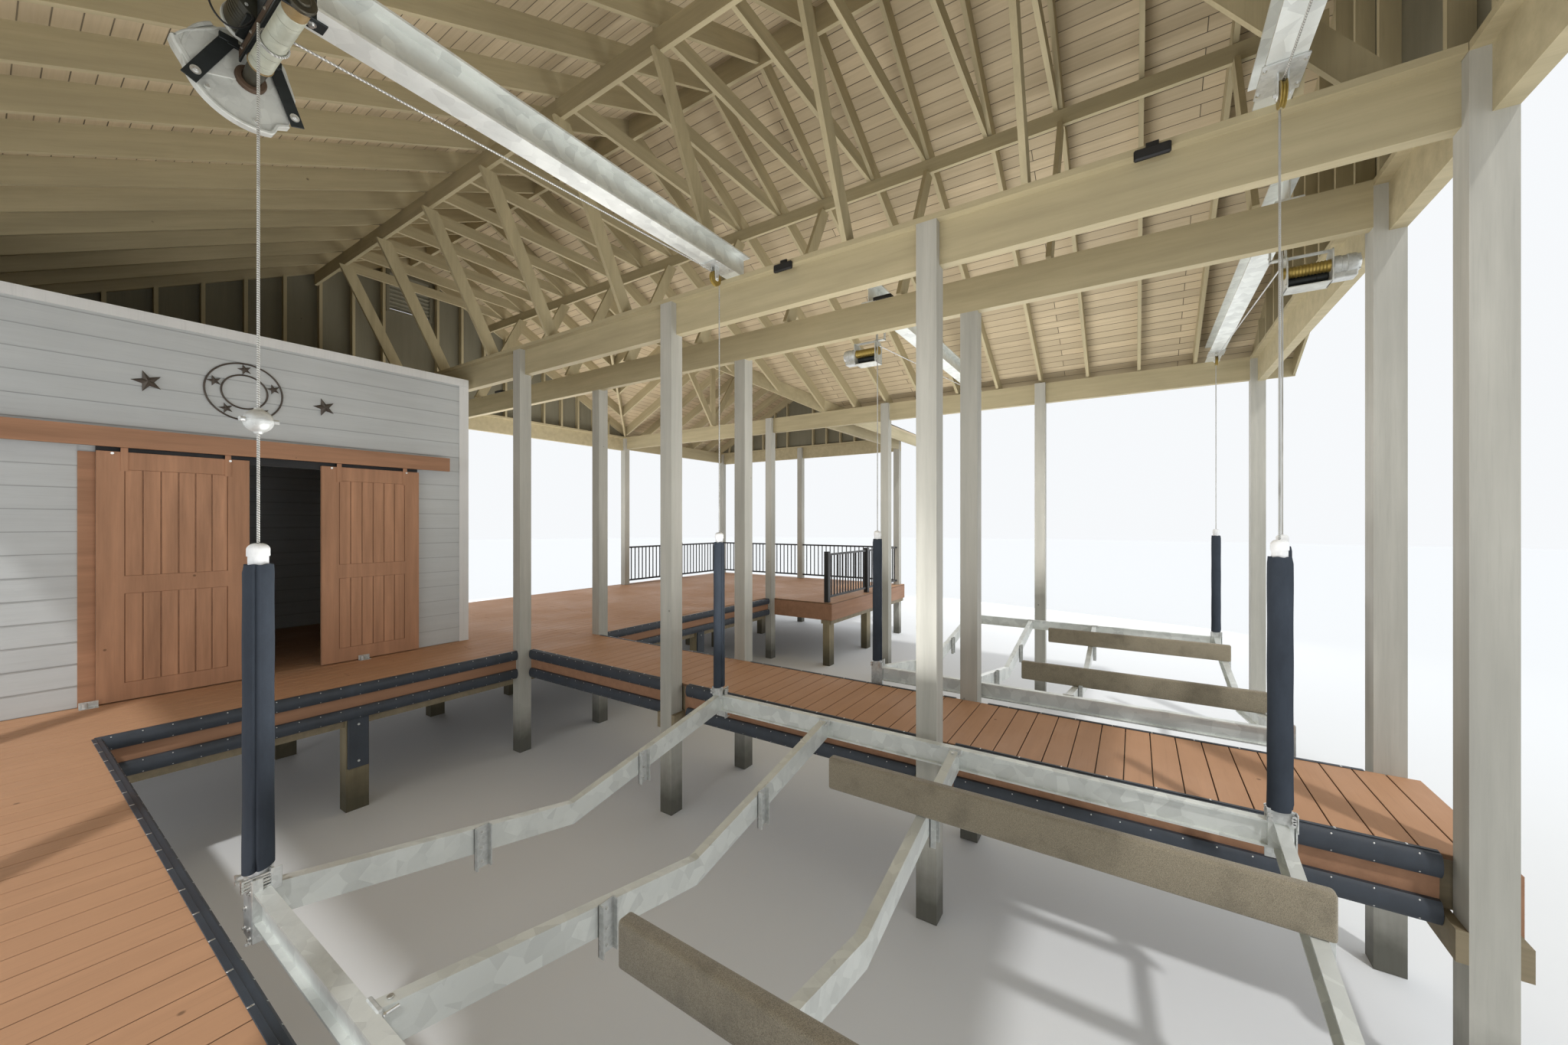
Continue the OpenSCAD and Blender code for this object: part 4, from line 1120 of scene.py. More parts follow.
    @staticmethod
    def straps(black, bolts):
        """The two straps down from the beam, the angle bar along the drum and the plates at its ends."""
        gear, down = 0.316, Vector((0, -1, 0))
        strap_bolt = ((0, 0.003, 0.0165, 24), (0.003, 0.011, 0.0095, 6), (0.011, 0.017, 0.005, 10))
        for x, z, turn, length, hole in ((-0.067, 0.12, 116, 0.256, 0.213), (0.07, 0.12, 70, 0.244, 0.207)):
            leg = Matrix.Translation((x, gear, z)) @ Matrix.Rotation(math.radians(turn), 4, "Y")
            verts = block(black, (0, -0.0065, -0.024), (length, -0.0005, 0.024), 0.0012)
            bmesh.ops.transform(black, matrix=leg, verts=verts)
            head = leg @ Vector((hole, -0.0065, 0))
            for first, last, radius, sides in strap_bolt:
                rod(bolts, head + down * first, head + down * last, radius, sides)
            block(black, (x - 0.028, gear - 0.011, z - 0.012), (x + 0.028, gear + 0.02, z + 0.016), 0.0015)
        blocks(
            black,
            (
                ((-0.105, gear + 0.005, -0.01), (-0.02, gear + 0.035, 0.065), 0.002),
                ((-0.07, gear - 0.0105, 0.1), (0.09, gear + 0.012, 0.12), 0.0015),
                ((-0.105, -0.31, -0.035), (0.045, -0.302, 0.112), 0.0015),
                ((-0.035, -0.31, 0.106), (0.02, 0.356, 0.112), 0.001),
                ((-0.035, -0.31, 0.055), (-0.029, 0.356, 0.112), 0.001),
                ((-0.035, -0.06, 0.112), (0.015, 0.06, 0.185), 0.002),
                ((-0.06, 0.0915, 0.112), (0.02, 0.2515, 0.125), 0.002),
                ((0.088, -0.018, 0.178), (0.164, 0.048, 0.185), 0.0012),
            ),
        )
        bolts_at(bolts, [(-0.08, -0.31, 0.08), (0.02, -0.31, 0.075), (-0.08, -0.31, 0.0)], (0, -1, 0), 0.011)
        bolts_at(bolts, [(-0.0365, y, 0.083) for y in (-0.2, -0.05, 0.13, 0.26)], (-1, 0, 0), 0.007)
        for z0, z1, radius, sides in ((0.178, 0.1745, 0.0165, 24), (0.1745, 0.164, 0.0095, 6)):
            rod(bolts, (0.118, 0.016, z0), (0.118, 0.016, z1), radius, sides)

    @staticmethod
    def motor(unit):
        """The finned motor over the drum, with its end cap and four bolts."""
        middle, along = Vector((-0.02, 0, 0.19)), (0, 1, 0)
        fin = ((0.074, 0), (0.071, 0.002), (0.071, 0.006), (0.074, 0.008))
        fins = ribs((0.115, 0.135, 0.155, 0.175, 0.195), fin)
        body = [(0, 0.084), (0.03, 0.084), (0.05, 0.0815), (0.07, 0.085), (0.074, 0.095)]
        turned(unit["motor_green"], [*body, *fins, (0.074, 0.255), (0, 0.255)], middle, along, 40)
        cap = [(0, 0.2552), (0.079, 0.2552), (0.08, 0.258), (0.08, 0.272), (0.076, 0.2755), (0, 0.2755)]
        turned(unit["cast"], cap, middle, along, 40)
        places = [middle + at_turn(0.058, 45 + 90 * k, 0.083) for k in range(4)]
        bolts_at(unit["bright_screw"], places, (0, -1, 0), 0.006)

    def winch(self, unit):
        """Drum and motor between two end plates that hang from straps, with a gearbox behind."""
        plates, brass, black, bolts = unit["cast"], unit["brass"], unit["black_steel"], unit["bright_screw"]
        near, back, plate = 0.02, 0.24, 0.008
        outline = [(-0.055, -0.095), (-0.04, -0.11), (0.1, -0.11), (0.115, -0.095)]
        outline += [(0.115, 0.055), (0.075, 0.1), (-0.04, 0.1), (-0.055, 0.085)]
        for y in (near, back):
            cut_out(plates, [(x, y, z) for x, z in outline], (0, plate, 0), 0.0015)
        block(plates, (-0.035, near, -0.11), (0.115, back + plate, -0.104), 0.001)
        block(plates, (0.109, near, -0.104), (0.115, back + plate, -0.088), 0.001)
        block(plates, (-0.02, -0.06, 0.092), (0.02, back + plate, 0.1), 0.001)
        for y in (-0.06, near):
            block(plates, (-0.02, y, 0.09), (0.02, y + plate, 0.38), 0.001)
            block(plates, (-0.045, y - 0.016, 0.372), (0.045, y + 0.024, 0.38), 0.001)
            bolts_at(bolts, [(x, y + 0.004, 0.372) for x in (-0.033, 0.033)], (0, 0, -1), 0.008)
            bolt(bolts, (0, y, 0.12), (0, -1, 0), 0.009)
        block(plates, (-0.012, -0.052, 0.1), (0.012, near, 0.106), 0.001)

        groove = ((0.039, 0), (0.0355, 0.005), (0.0355, 0.009), (0.039, 0.014))
        grooves = ribs([0.03 + k * 0.0168 for k in range(12)], groove)
        flange = [(0, 0.0), (0.04, 0.0), (0.04, 0.012), (0.036, 0.014)]
        turned(brass, [*flange, *grooves, (0.039, back), (0, back)], *DRUM)
        motor = [(0, 0.028), (0.036, 0.028), (0.042, 0.034), (0.042, 0.075), (0.04, 0.077), (0.04, 0.18)]
        motor += [(0.042, 0.182), (0.042, 0.234), (0.036, back), (0, back)]
        motor_place = (0.062, 0, -0.048)
        turned(black, motor, motor_place, (0, 1, 0))
        verts = block(unit["pipe"], (0.0395, 0.1, -0.021), (0.0415, 0.16, 0.021), 0.0008)
        turn = Matrix.Translation(motor_place) @ Matrix.Rotation(math.radians(30), 4, "Y")
        bmesh.ops.transform(unit["pipe"], matrix=turn, verts=verts)
        gearbox = [(0, 0.248), (0.05, 0.248), (0.064, 0.256), (0.065, 0.29), (0.06, 0.294), (0.06, 0.318)]
        gearbox += [(0.065, 0.322), (0.065, 0.36), (0.05, 0.382), (0.025, 0.39), (0, 0.39)]
        turned(unit["galvanised"], gearbox, (0.035, 0, 0), (0, 1, 0))
        block(unit["galvanised"], (0.0, 0.25, -0.09), (0.09, 0.37, -0.05), 0.006)
        around = [math.radians(60 * k) for k in range(6)]
        places = [(0.035 + math.cos(turn) * 0.054, 0.378, math.sin(turn) * 0.054) for turn in around]
        bolts_at(bolts, places, (0, 1, 0), 0.006)
        plate_corners = ((-0.04, 0.08), (-0.04, -0.09), (0.1, -0.09), (0.1, 0.05))
        bolts_at(bolts, [(x, near, z) for x, z in plate_corners], (0, -1, 0), 0.008)

    def sheave(self, unit):
        """A grooved wheel between two cheeks under the hoist beam."""
        cheeks, bolts = unit["galvanised"], unit["bright_screw"]
        outline = [(-0.012, -0.022), (0.012, -0.022), (0.02, -0.012)]
        outline += [(0.026, 0.092), (-0.026, 0.092), (-0.02, -0.012)]
        for y in (-0.022, 0.014):
            cut_out(cheeks, [(x, y, z) for x, z in outline], (0, 0.008, 0), 0.0015)
        block(cheeks, (-0.09, -0.082, 0.09), (0.14, 0.082, 0.1), 0.002)
        wheel = [(0, -0.012), (0.058, -0.012), (0.0585, -0.009), (0.0505, -0.003)]
        wheel += [(0.0505, 0.003), (0.0585, 0.009), (0.058, 0.012), (0, 0.012)]
        turned(unit["brass"], wheel, *DRUM)
        for side in (-1, 1):
            bolt(bolts, (0, side * 0.022, 0), (0, side, 0), 0.014)
            bolts_at(bolts, [(x, side * 0.07, 0.09) for x in (-0.062, 0.1)], (0, 0, -1), 0.011)

    def lead(self, name, place):
        """The short lead that hangs from the beam's flange and runs into the motor."""
        knots = [(-0.045, 0.088, 0.125), (-0.046, 0.072, 0.092), (-0.076, 0.068, 0.04)]
        knots += [(-0.106, 0.066, 0.018), (-0.138, 0.066, 0.026)]
        knots += [(-0.162, 0.064, 0.06), (-0.174, 0.062, 0.12), (-0.173, 0.06, 0.184)]
        points = [place @ point for point in smooth_path(knots, 5)]
        diameter = 0.007
        curve = bpy.data.curves.new(name, "CURVE")
        curve.dimensions = "3D"
        curve.bevel_depth, curve.bevel_resolution, curve.use_fill_caps = diameter / 2, 3, True
        line = curve.splines.new("POLY")
        line.points.add(len(points) - 1)
        for knot, point in zip(line.points, points):
            knot.co = (*point, 1)
        curve.materials.append(FINISHES["lamp_black"])
        piece = linked(name, curve)
        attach(piece, "boathouse")
        length = sum((b - a).length for a, b in zip(points, points[1:]))
        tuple(points[0])


class BOATHOUSE_OT_cables(bpy.types.Operator):
    """Hangs each lift's four cables"""

    bl_idname = "boathouse.cables"
    bl_label = "Lifting cables"

    def execute(self, context):
        lengths = 24
        for lift in "ab":
            node = "cables_" + lift
            shape = bmesh.new()
            for low, high in solids_of(node):
                foot = Matrix.Translation(((low.x + high.x) / 2, (low.y + high.y) / 2, low.z))
                verts = bmesh.ops.create_circle(
                    shape, cap_ends=True, segments=12, radius=CABLE_RADIUS, matrix=foot
                )["verts"]
                face = next(f for f in shape.faces if set(f.verts) == set(verts))
                for _ in range(lengths):
                    face = picked(bmesh.ops.extrude_face_region(shape, geom=[face]), BMFace)[0]
                    bmesh.ops.translate(shape, vec=(0, 0, (high.z - low.z) / lengths), verts=list(face.verts))
            piece = set_down("lift_%s_cables" % lift, shape, None, "cable", [node], smooth=60)
            low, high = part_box(node)
            start, end = (low.x, low.y, high.z), (low.x, low.y, low.z)
            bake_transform(piece)
            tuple(start)
            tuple(end)
        return {"FINISHED"}


class BOATHOUSE_OT_guides(bpy.types.Operator):
    """Fits the padded covers and caps of the guide posts, and the stop on a cable"""

    bl_idname = "boathouse.guides"
    bl_label = "Guide posts"

    def execute(self, context):
        for lift in "ab":
            covers, caps = bmesh.new(), bmesh.new()
            for low, high in solids_of("guides_" + lift):
                centre = Vector(((low.x + high.x) / 2, (low.y + high.y) / 2, 0))
                z = high.z - 0.08
                self.cover(covers, centre, low.z + 0.064, z)
                turned(caps, hoop(0.02, 0.03, low.z + 0.001, low.z + 0.09), centre, (0, 0, 1))
                self.cap(caps, centre, z)
            body = "lift_" + lift
            hidden = ["guides_" + lift]
            piece = set_down(body + "_covers", covers, body, "cover", hidden, smooth=50)
            set_down(body + "_caps", caps, body, "cap_plastic", smooth=35)
        self.stop_ball()
        return {"FINISHED"}

    @staticmethod
    def cap(caps, centre, z):
        """The domed plug in the top of a guide post, on a cover that ends at z."""
        outline = [(0.012, -0.02), (0.03, -0.02), (0.03, 0.029), (0.0305, 0.031), (0.0335, 0.031)]
        outline += [(0.0338, 0.034), (0.0336, 0.058), (0.0325, 0.064), (0.028, 0.071), (0.021, 0.077)]
        outline += [(0.0125, 0.08), (0.012, -0.02)]
        turned(caps, [(radius, z + rise) for radius, rise in outline], centre, (0, 0, 1), 36)

    @staticmethod
    def stop_ball():
        """The split ball clamped on the first lift's cable nearest the store room."""
        corners = [(low + high) / 2 for low, high in solids_of("cables_a")]
        centre = max(corners, key=lambda corner: corner.y - corner.x)
        centre.z = 3.07
        radius, up = 0.045, (0, 0, 1)
        turns = [math.radians(turn) for turn in range(-70, 71, 10)]
        ball = [(radius * math.cos(turn), radius * math.sin(turn)) for turn in turns]
        foot = [(0.006, -0.05), (0.012, -0.05), (0.014, -0.044)]
        head = [(0.014, 0.044), (0.012, 0.05), (0.006, 0.05)]
        shape = bmesh.new()
        turned(shape, [*foot, *ball, *head, foot[0]], centre, up, 36)
        for side in (-1, 1):
            start, end = centre + Vector((side * 0.03, -0.012, 0)), centre + Vector((side * 0.056, -0.02, 0))
            rod(shape, start, end, 0.009, 10)
        seam = [(0.0445, -0.004), (0.0475, -0.003), (0.0475, 0.003), (0.0445, 0.004), (0.0445, -0.004)]
        turned(shape, seam, centre, up, 36)
        set_down("cable_stop_ball", shape, "lift_a", "galvanised", smooth=40)

    def cover(self, shape, centre, bottom, top):
        """A sleeve of padded cloth, with short rings at its foot, where it is gathered."""
        sides, foot, rings = 64, 0.12, 34
        heights = [k * 0.01 for k in range(13)]
        heights += [foot + (top - bottom - foot) * k / rings for k in range(1, rings + 1)]
        place = Matrix.Translation(centre + Vector((0, 0, bottom)))
        start = bmesh.ops.create_circle(shape, segments=sides, radius=1.0, matrix=place)["verts"]
        ring = list({edge for vert in start for edge in vert.link_edges})
        rows = [start]
        for lower, upper in zip(heights, heights[1:]):
            pushed = bmesh.ops.extrude_edge_only(shape, edges=ring)
            fresh = picked(pushed, BMVert)
            ring = [edge for edge in picked(pushed, BMEdge) if all(vert in fresh for vert in edge.verts)]
            bmesh.ops.translate(shape, vec=(0, 0, upper - lower), verts=fresh)
            rows.append(fresh)
        for row in rows:
            for vert in row:
                self.drape(vert, centre, bottom, top)
        for row in (rows[0], rows[-1]):
            edges = list({edge for vert in row for edge in vert.link_edges if edge.other_vert(vert) in row})
            fresh = picked(bmesh.ops.extrude_edge_only(shape, edges=edges), BMVert)
            bmesh.ops.scale(shape, vec=(0.62, 0.62, 1), space=Matrix.Translation(-centre), verts=fresh)

    @staticmethod
    def drape(vert, centre, bottom, top):
        """Lays one point of a cover: soft creases, a seam towards the near walkway, a pleat at its foot."""
        seam_turn, gather, hem = math.radians(-112.5), 0.055, 0.01

        def swell(distance, width):
            return math.exp(-((distance / width) ** 2))

        height, drop = vert.co.z - bottom, top - vert.co.z
        side = (vert.co - centre).xy
        angle = math.atan2(side.y, side.x)
        off = (angle - seam_turn + math.pi) % (2 * math.pi) - math.pi
        fold = max(0.05, 0.4 * (1 - height / gather))
        pleat = max(0.0, 1 - abs(off) / fold) * max(0.0, 1 - height / gather)
        radius = 0.0452 + 0.0009 * math.cos(3 * off) + 0.0006 * math.sin(17 * height + 2 * angle)
        radius += 0.0016 * swell(abs(off) - 0.19, 0.08) - 0.0055 * swell(off, 0.07)
        radius += 0.0018 * swell(height, 0.12) - 0.012 * pleat
        radius -= 0.004 * swell(drop, hem) * (1 + 0.5 * math.sin(7 * angle))
        lift = 0.008 * swell(height, 0.02) * math.sin(off) + 0.002 * swell(drop, hem) * math.sin(5 * angle)
        vert.co.x, vert.co.y = centre.x + math.cos(angle) * radius, centre.y + math.sin(angle) * radius
        vert.co.z += lift


class BOATHOUSE_OT_cradles(bpy.types.Operator):
    """Adds corner irons, splices and brackets to the cradles, and carpet to their bunks"""

    bl_idname = "boathouse.cradles"
    bl_label = "Cradle fittings"

    def execute(self, context):
        cross_beams = (0.44, 0.71)
        for lift in "ab":
            body = "lift_" + lift
            irons, bolts = bmesh.new(), bmesh.new()
            corners = [(low + high) / 2 for low, high in solids_of("cables_" + lift)]
            near, far = min(c.x for c in corners), max(c.x for c in corners)
            lake, land = min(c.y for c in corners), max(c.y for c in corners)
            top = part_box("cradle_" + lift)[1].z
            middle, span = (near + far) / 2, (far - near) / 2
            for side in (-1, 1):
                for y in (lake, land):
                    self.corner(irons, bolts, Vector((middle + side * span, y, top)), side)
                for share in cross_beams:
                    y = lake + share * (land - lake)
                    self.splice(irons, bolts, Vector((middle + side * span, y, top)), side)
                for share, out in ((0, 0.6), (0.44, 0.6), (0.71, 0.4), (1, 0.393)):
                    y = lake + share * (land - lake) - 0.025
                    z = top - CRADLE_FALL * (1 - out)
                    self.bracket(irons, bolts, Vector((middle + side * span * out, y, z)))
            set_down(body + "_irons", irons, body, "galvanised")
            set_down(body + "_bolts", bolts, body, "bright_screw", smooth=35)

            shape = bmesh.new()
            for low, high in solids_of("bunks_" + lift):
                rise = CRADLE_FALL * (high.x - low.x) / span
                inner, outer = (high.x, low.x) if low.x + high.x < 2 * middle else (low.x, high.x)
                section = [(inner, low.z), (outer, low.z + rise), (outer, high.z), (inner, high.z)]
                made = cut_out(shape, [(x, low.y, z) for x, z in section], (0, high.y - low.y, 0))
                ease(shape, list({edge for vert in made for edge in vert.link_edges}), 0.014, 3)
            set_down(body + "_carpet", shape, body, "carpet", ["bunks_" + lift], smooth=50)
        return {"FINISHED"}

    def corner(self, irons, bolts, at, out):
        """Angle irons either side of a cradle corner, with the long bolts that pinch its cable."""
        for x0, x1, y0, y1, z0, z1 in (
            (0.025, 0.031, -0.056, 0.05, -0.19, 0.045),
            (-0.001, 0.031, -0.062, -0.056, -0.19, 0.045),
            (-0.031, -0.025, -0.05, 0.05, 0.001, 0.062),
            (-0.056, -0.025, -0.056, -0.05, -0.02, 0.065),
            (-0.03, 0.03, -0.05, 0.05, 0.0005, 0.0055),
        ):
            low, high = sorted((at.x + out * x0, at.x + out * x1))
            block(irons, (low, at.y + y0, at.z + z0), (high, at.y + y1, at.z + z1), 0.0012)
        lake_bolts = ((-0.04, 0.013), (-0.043, 0.025), (-0.04, 0.037), (-0.043, 0.049))
        for y, z in (*lake_bolts, (0.04, 0.018), (0.04, 0.04)):
            start, end = at + Vector((out * 0.05, y, z)), at + Vector((-out * 0.046, y, z))
            rod(bolts, start, end, 0.0048, 10)
            for head, way in ((start, out), (end, -out)):
                rod(bolts, head, head + Vector((way * 0.007, 0, 0)), 0.0095, 6)
        side_holes = ((-0.035, -0.005), (0.02, -0.083), (-0.03, -0.143), (0.03, -0.162), (-0.035, -0.178))
        bolts_at(bolts, [at + Vector((out * 0.031, y, z)) for y, z in side_holes], (out, 0, 0), 0.01)
        bolts_at(bolts, [at + Vector((out * x, -0.062, -0.178)) for x in (0.038, 0.046)], (0, -1, 0), 0.006)

    def splice(self, irons, bolts, at, out):
        """The cleat where a cross beam meets a side beam."""
        low, high = sorted((at.x - out * 0.02, at.x - out * 0.036))
        block(irons, (low, at.y - 0.048, at.z - 0.035), (high, at.y + 0.035, at.z + 0.005), 0.004)
        y, z = at.y - 0.038, at.z - 0.022
        rod(bolts, (at.x - out * 0.03, y, z), (at.x - out * 0.078, y, z), 0.0055, 10)
        bolt(bolts, (at.x - out * 0.036, y, z), (-out, 0, 0), 0.011)
        x = at.x - out * 0.07
        rod(bolts, (x, at.y, at.z - 0.006), (x, at.y, at.z - 0.0095), 0.009, 12)

    def bracket(self, irons, bolts, at):
        """A short upright channel on a cross beam's lake face."""
        for x0, x1, y0 in ((-0.037, 0.037, -0.006), (-0.037, -0.031, -0.032), (0.031, 0.037, -0.032)):
            block(irons, at + Vector((x0, y0, -0.2)), at + Vector((x1, 0, 0.012)), 0.001)
        bolts_at(bolts, [at + Vector((0, -0.006, z)) for z in (-0.17, -0.1, -0.02)], (0, -1, 0), 0.009)


class BOATHOUSE_OT_roofing(bpy.types.Operator):
    """Lays shingle courses and ridge caps on the four roof planes"""

    bl_idname = "boathouse.roofing"
    bl_label = "Roofing"

    def execute(self, context):
        course = context.scene.boathouse_sizes.course
        run, length = RIDGE_X - ROOF_LOW.x, ROOF_HIGH.y - ROOF_LOW.y
        eave_z = ROOF_HIGH.z - run * ROOF_SLOPE
        shape = self.plane((ROOF_LOW.x, ROOF_LOW.y, eave_z), (0, 1, 0), (1, 0, 0), length, run, course)
        set_down("near_shingles", shape, "boathouse", "shingles")

        valleys = Vector((WING_LOW.x, WING_MID, 0))
        far_eave = (2 * RIDGE_X - ROOF_LOW.x, ROOF_LOW.y, eave_z)
        halves = bmesh.new()
        for side in (-1, 1):
            half = self.plane(far_eave, (0, 1, 0), (-1, 0, 0), length, run, course)
            self.keep(half, valleys, (0, side, 0))
            self.keep(half, valleys, (-1, side, 0))
            mesh = as_mesh("half", half)
            halves.from_mesh(mesh)
            bpy.data.meshes.remove(mesh)
        set_down("far_shingles", halves, "boathouse", "shingles")

        wing_run, wing_length = WING_MID - WING_LOW.y, WING_HIGH.x - WING_LOW.x
        for side, name in ((-1, "wing_lake_shingles"), (1, "wing_land_shingles")):
            start = (WING_LOW.x, WING_MID + side * wing_run, WING_HIGH.z - wing_run * ROOF_SLOPE)
            shape = self.plane(start, (1, 0, 0), (0, -side, 0), wing_length, wing_run, course)
            self.keep(shape, valleys, (1, -side, 0))
            set_down(name, shape, "boathouse", "shingles")

        shape = bmesh.new()
        self.ridge_cap(shape, (RIDGE_X, ROOF_LOW.y, ROOF_HIGH.z), (0, 1, 0), length)
        self.ridge_cap(shape, (WING_LOW.x, WING_MID, WING_HIGH.z), (1, 0, 0), wing_length)
        self.lay_out(shape, lambda place: (place.x + 0.4, place.y))
        set_down("ridge_caps", shape, "boathouse", "shingles")
        return {"FINISHED"}

    @staticmethod
    def lay_out(shape, lie):
        """Gives each corner of a shape its place on the map that the shingles' pattern follows."""
        lay = shape.loops.layers.uv.new("lay")
        for face in shape.faces:
            for loop in face.loops:
                loop[lay].uv = lie(loop.vert.co)

    def plane(self, corner, along, up, length, run, course):
        """Shingle courses on one slope, from its eave to its ridge."""
        corner, along, up = Vector(corner), Vector(along), Vector(up)
        rise = Vector((up.x, up.y, ROOF_SLOPE)).normalized()
        normal = Vector((-up.x * ROOF_SLOPE, -up.y * ROOF_SLOPE, 1)).normalized()
        slope = run / math.cos(PITCH)
        foot, butt, tail, overlap = 0.0005, 0.0075, 0.002, 0.004
        shape = bmesh.new()
        for v in paces(0.0, slope, course):
            end = min(v + course + overlap, slope)
            section = ((v, foot), (v, butt), (end, tail), (end, foot))
            cut_out(shape, [Vector((0, a, b)) for a, b in section], (length, 0, 0))
        self.lay_out(shape, lambda place: place.xy)
        to_frame = Matrix.Translation(corner) @ Matrix((along, rise, normal)).transposed().to_4x4()
        bmesh.ops.transform(shape, matrix=to_frame, verts=shape.verts)
        return shape

    def keep(self, shape, point, side):
        """Cuts the shape upright through point and keeps what lies towards side."""
        geom = shape.verts[:] + shape.edges[:] + shape.faces[:]
        bmesh.ops.bisect_plane(shape, geom=geom, plane_co=point, plane_no=Vector(side), clear_inner=True)

    def ridge_cap(self, shape, start, along, length):
        """Short caps end to end along a ridge, one row on each slope."""
        start, along = Vector(start), Vector(along)
        across = Vector((along.y, along.x, 0))
        width, pitch, low, high = 0.14, 0.3, 0.006, 0.012
        for side in (-1, 1):
            fall = (across * side - Vector((0, 0, ROOF_SLOPE))).normalized()
            normal = (across * side * ROOF_SLOPE + Vector((0, 0, 1))).normalized()
            for reach in paces(0.0, length, pitch):
                at = start + along * reach
                edge = at + fall * width
                section = [at + normal * low, edge + normal * low, edge + normal * high, at + normal * high]
                cut_out(shape, section, along * min(pitch, length - reach))


class BOATHOUSE_OT_fittings(bpy.types.Operator):
    """Puts lamps on the beams and louvres in the gable vent"""

    bl_idname = "boathouse.fittings"
    bl_label = "Frame fittings"

    # Lamps clamped to a beam's side and lamps that stand on a beam, from rows that blocks takes
    side_lamp = (
        ((-0.03, -0.085, -0.085), (-0.0005, 0.085, -0.025), 0.008),
        ((-0.012, -0.03, -0.03), (-0.0005, 0.03, 0.004), 0.002),
        ((-0.012, -0.03, 0.0005), (0.06, 0.03, 0.004), 0.001),
    )
    top_lamp = (
        ((-0.045, -0.09, 0), (0.045, 0.09, 0.035), 0.006),
        ((-0.03, -0.075, 0.035), (0.03, 0.075, 0.042), 0.003),
    )

    def execute(self, context):
        shape = bmesh.new()
        for lamp, x, rows in ((self.side_lamp, 3.98, (1.19, 3.58)), (self.top_lamp, 5.12, (3.22, 9.73))):
            for y in rows:
                blocks(shape, lamp, spot(x, y, BEAM_TOP))
        set_down("beam_lamps", shape, "boathouse", "lamp_black")

        shape = bmesh.new()
        y, frame_width = spot(0, 11.609, 0).y, 0.05
        y0, y1 = y - 0.012, y + 0.045
        x0, x1, z0, z1 = spot(4.3, 0, 0).x, spot(4.9, 0, 0).x, 6.2275, 6.8275
        for low, high in (
            ((x0 - frame_width, y0, z0 - frame_width), (x0, y1, z1 + frame_width)),
            ((x1, y0, z0 - frame_width), (x1 + frame_width, y1, z1 + frame_width)),
            ((x0, y0, z1), (x1, y1, z1 + frame_width)),
            ((x0, y0, z0 - frame_width), (x1, y1, z0)),
        ):
            block(shape, low, high, EASED)
        front, back, drop, thick = y - 0.004, y + 0.034, 0.045, 0.008
        for k in range(9):
            z = z0 + 0.02 + k * 0.066
            outline = [(back, z), (front, z + drop), (front, z + drop + thick), (back, z + thick)]
            cut_out(shape, [(x0, py, pz) for py, pz in outline], (x1 - x0, 0, 0))
        set_down("gable_vent", shape, "boathouse", "gable_paint")
        return {"FINISHED"}


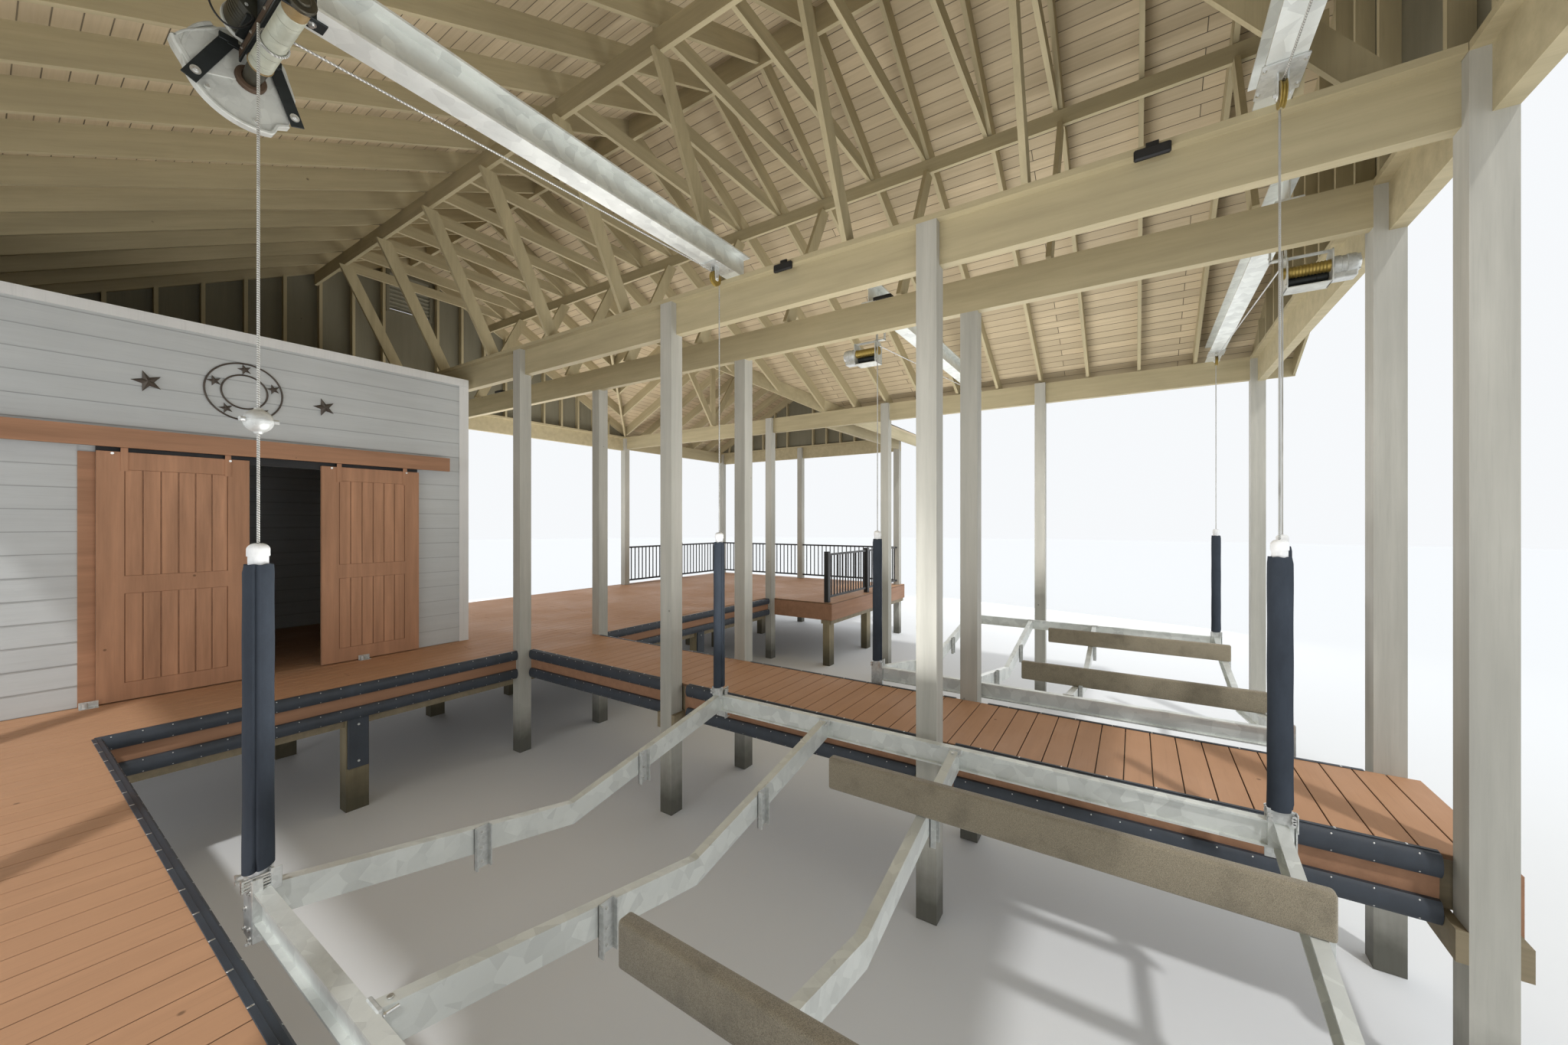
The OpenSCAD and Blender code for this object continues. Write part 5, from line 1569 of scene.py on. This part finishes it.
class BOATHOUSE_OT_stage(bpy.types.Operator):
    """Lays a pale floor, hangs soft lamps and sets the camera on the near walkway"""

    bl_idname = "boathouse.stage"
    bl_label = "Stage"

    def execute(self, context):
        scene = context.scene
        self.floor()
        self.sky(scene)
        self.lamps()

        camera = linked("camera", bpy.data.cameras.new("camera"))
        camera.data.lens = 12.3
        camera.data.sensor_width = 36
        camera.data.clip_start = 0.02
        camera.data.clip_end = 300
        camera.location = spot(0.45, 1.27, 2.68)
        camera.rotation_euler = Vector((0.8368, 0.5476, 0)).to_track_quat("-Z", "Y").to_euler()
        scene.camera = camera
        scene.view_settings.view_transform = "Standard"
        return {"FINISHED"}

    @staticmethod
    def floor():
        """A pale floor just under the feet of the posts."""
        shape = bmesh.new()
        bmesh.ops.create_circle(shape, cap_ends=True, segments=96, radius=90.0)
        ground = linked("floor", as_mesh("floor", shape))
        ground.location.z = -0.002
        pale = bpy.data.materials.new("pale_floor")
        pale.use_nodes = True
        shader = pale.node_tree.nodes["Principled BSDF"]
        shader.inputs["Base Color"].default_value = (0.78, 0.79, 0.79, 1)
        shader.inputs["Roughness"].default_value = 0.95
        ground.data.materials.append(pale)

    @staticmethod
    def sky(scene):
        """Even light from all round, and a near-white background for the camera and for gloss."""
        scene.world = bpy.data.worlds.new("sky")
        scene.world.use_nodes = True
        nodes, links = scene.world.node_tree.nodes, scene.world.node_tree.links
        ambient, plain = nodes["Background"], nodes.new("ShaderNodeBackground")
        tones = ((ambient, (0.93, 0.96, 1.0, 1), 0.86), (plain, (0.93, 0.95, 0.97, 1), 1.0))
        for node, colour, strength in tones:
            node.inputs["Color"].default_value = colour
            node.inputs["Strength"].default_value = strength
        path, either = nodes.new("ShaderNodeLightPath"), nodes.new("ShaderNodeMath")
        either.operation = "MAXIMUM"
        links.new(path.outputs["Is Camera Ray"], either.inputs[0])
        links.new(path.outputs["Is Glossy Ray"], either.inputs[1])
        chosen = nodes.new("ShaderNodeMixShader")
        for number, source in enumerate((either, ambient, plain)):
            links.new(source.outputs[0], chosen.inputs[number])
        links.new(chosen.outputs[0], nodes["World Output"].inputs["Surface"])

    def lamps(self):
        """Two suns and soft discs: one at each side, and one over each slip and the land deck."""
        self.lamp("sun", "SUN", (-9, -8, 20), (0, 0, 2), 1.3, 0.05)
        self.lamp("sun_fill", "SUN", (16, 12, 12), (0, 0, 2), 0.35, 0.6)
        for name, place, aim, power, size in (
            ("lake_fill", (4.5, -10, 2.0), (4.5, 6, 5.0), 280, 9.0),
            ("near_fill", (-9, 4, 1.5), (4, 6, 5.5), 300, 8.0),
            ("far_fill", (19, 3, 1.5), (8, 6, 5.0), 250, 8.0),
            ("land_fill", (6, 21, 1.5), (6, 8, 5.0), 500, 8.0),
            ("first_slip_glow", (2.5, 2.9, 1.6), (2.5, 2.91, 5.0), 80, 2.6),
            ("second_slip_glow", (7.2, 3.2, 1.6), (7.2, 3.21, 5.0), 110, 2.6),
            ("land_deck_glow", (6.6, 9.8, 1.6), (6.6, 9.81, 5.0), 140, 2.6),
        ):
            self.lamp(name, "AREA", spot(*place), spot(*aim), power, size)

    @staticmethod
    def lamp(name, kind, place, aim, power, size):
        """A soft disc, or a sun of one angle, that shines from place towards aim and isn't seen itself."""
        data = bpy.data.lights.new(name, kind)
        data.energy = power
        if kind == "AREA":
            data.shape = "DISK"
            data.size = size
        else:
            data.angle = size
        made = linked(name, data)
        made.location = place
        made.rotation_euler = (Vector(aim) - Vector(place)).to_track_quat("-Z", "Y").to_euler()
        made.visible_camera = False


class BOATHOUSE_PT_panel(bpy.types.Panel):
    """Sidebar panel with the boathouse's sizes, colours and steps"""

    bl_idname = "BOATHOUSE_PT_panel"
    bl_label = "Boathouse"
    bl_space_type = "VIEW_3D"
    bl_region_type = "UI"
    bl_category = "Boathouse"

    def draw(self, context):
        column = self.layout.column()
        for group in (context.scene.boathouse_sizes, context.scene.boathouse_colours):
            for name in group.__annotations__:
                column.prop(group, name)
        for step in STEPS:
            column.operator(step.bl_idname)


STEPS = (
    BOATHOUSE_OT_finishes,
    BOATHOUSE_OT_deck,
    BOATHOUSE_OT_siding,
    BOATHOUSE_OT_doors,
    BOATHOUSE_OT_wall_stars,
    BOATHOUSE_OT_bumpers,
    BOATHOUSE_OT_winders,
    BOATHOUSE_OT_cables,
    BOATHOUSE_OT_guides,
    BOATHOUSE_OT_cradles,
    BOATHOUSE_OT_roofing,
    BOATHOUSE_OT_fittings,
    BOATHOUSE_OT_stage,
)
CLASSES = (BoathouseColours, BoathouseSizes, *STEPS, BOATHOUSE_PT_panel)


def register():
    for kind in CLASSES:
        bpy.utils.register_class(kind)
    bpy.types.Scene.boathouse_colours = bpy.props.PointerProperty(type=BoathouseColours)
    bpy.types.Scene.boathouse_sizes = bpy.props.PointerProperty(type=BoathouseSizes)


def unregister():
    del bpy.types.Scene.boathouse_sizes
    del bpy.types.Scene.boathouse_colours
    for kind in reversed(CLASSES):
        bpy.utils.unregister_class(kind)


def main():
    register()
    for step in STEPS:
        getattr(bpy.ops.boathouse, step.bl_idname.split(".")[1])()


if __name__ == "__main__":
    main()
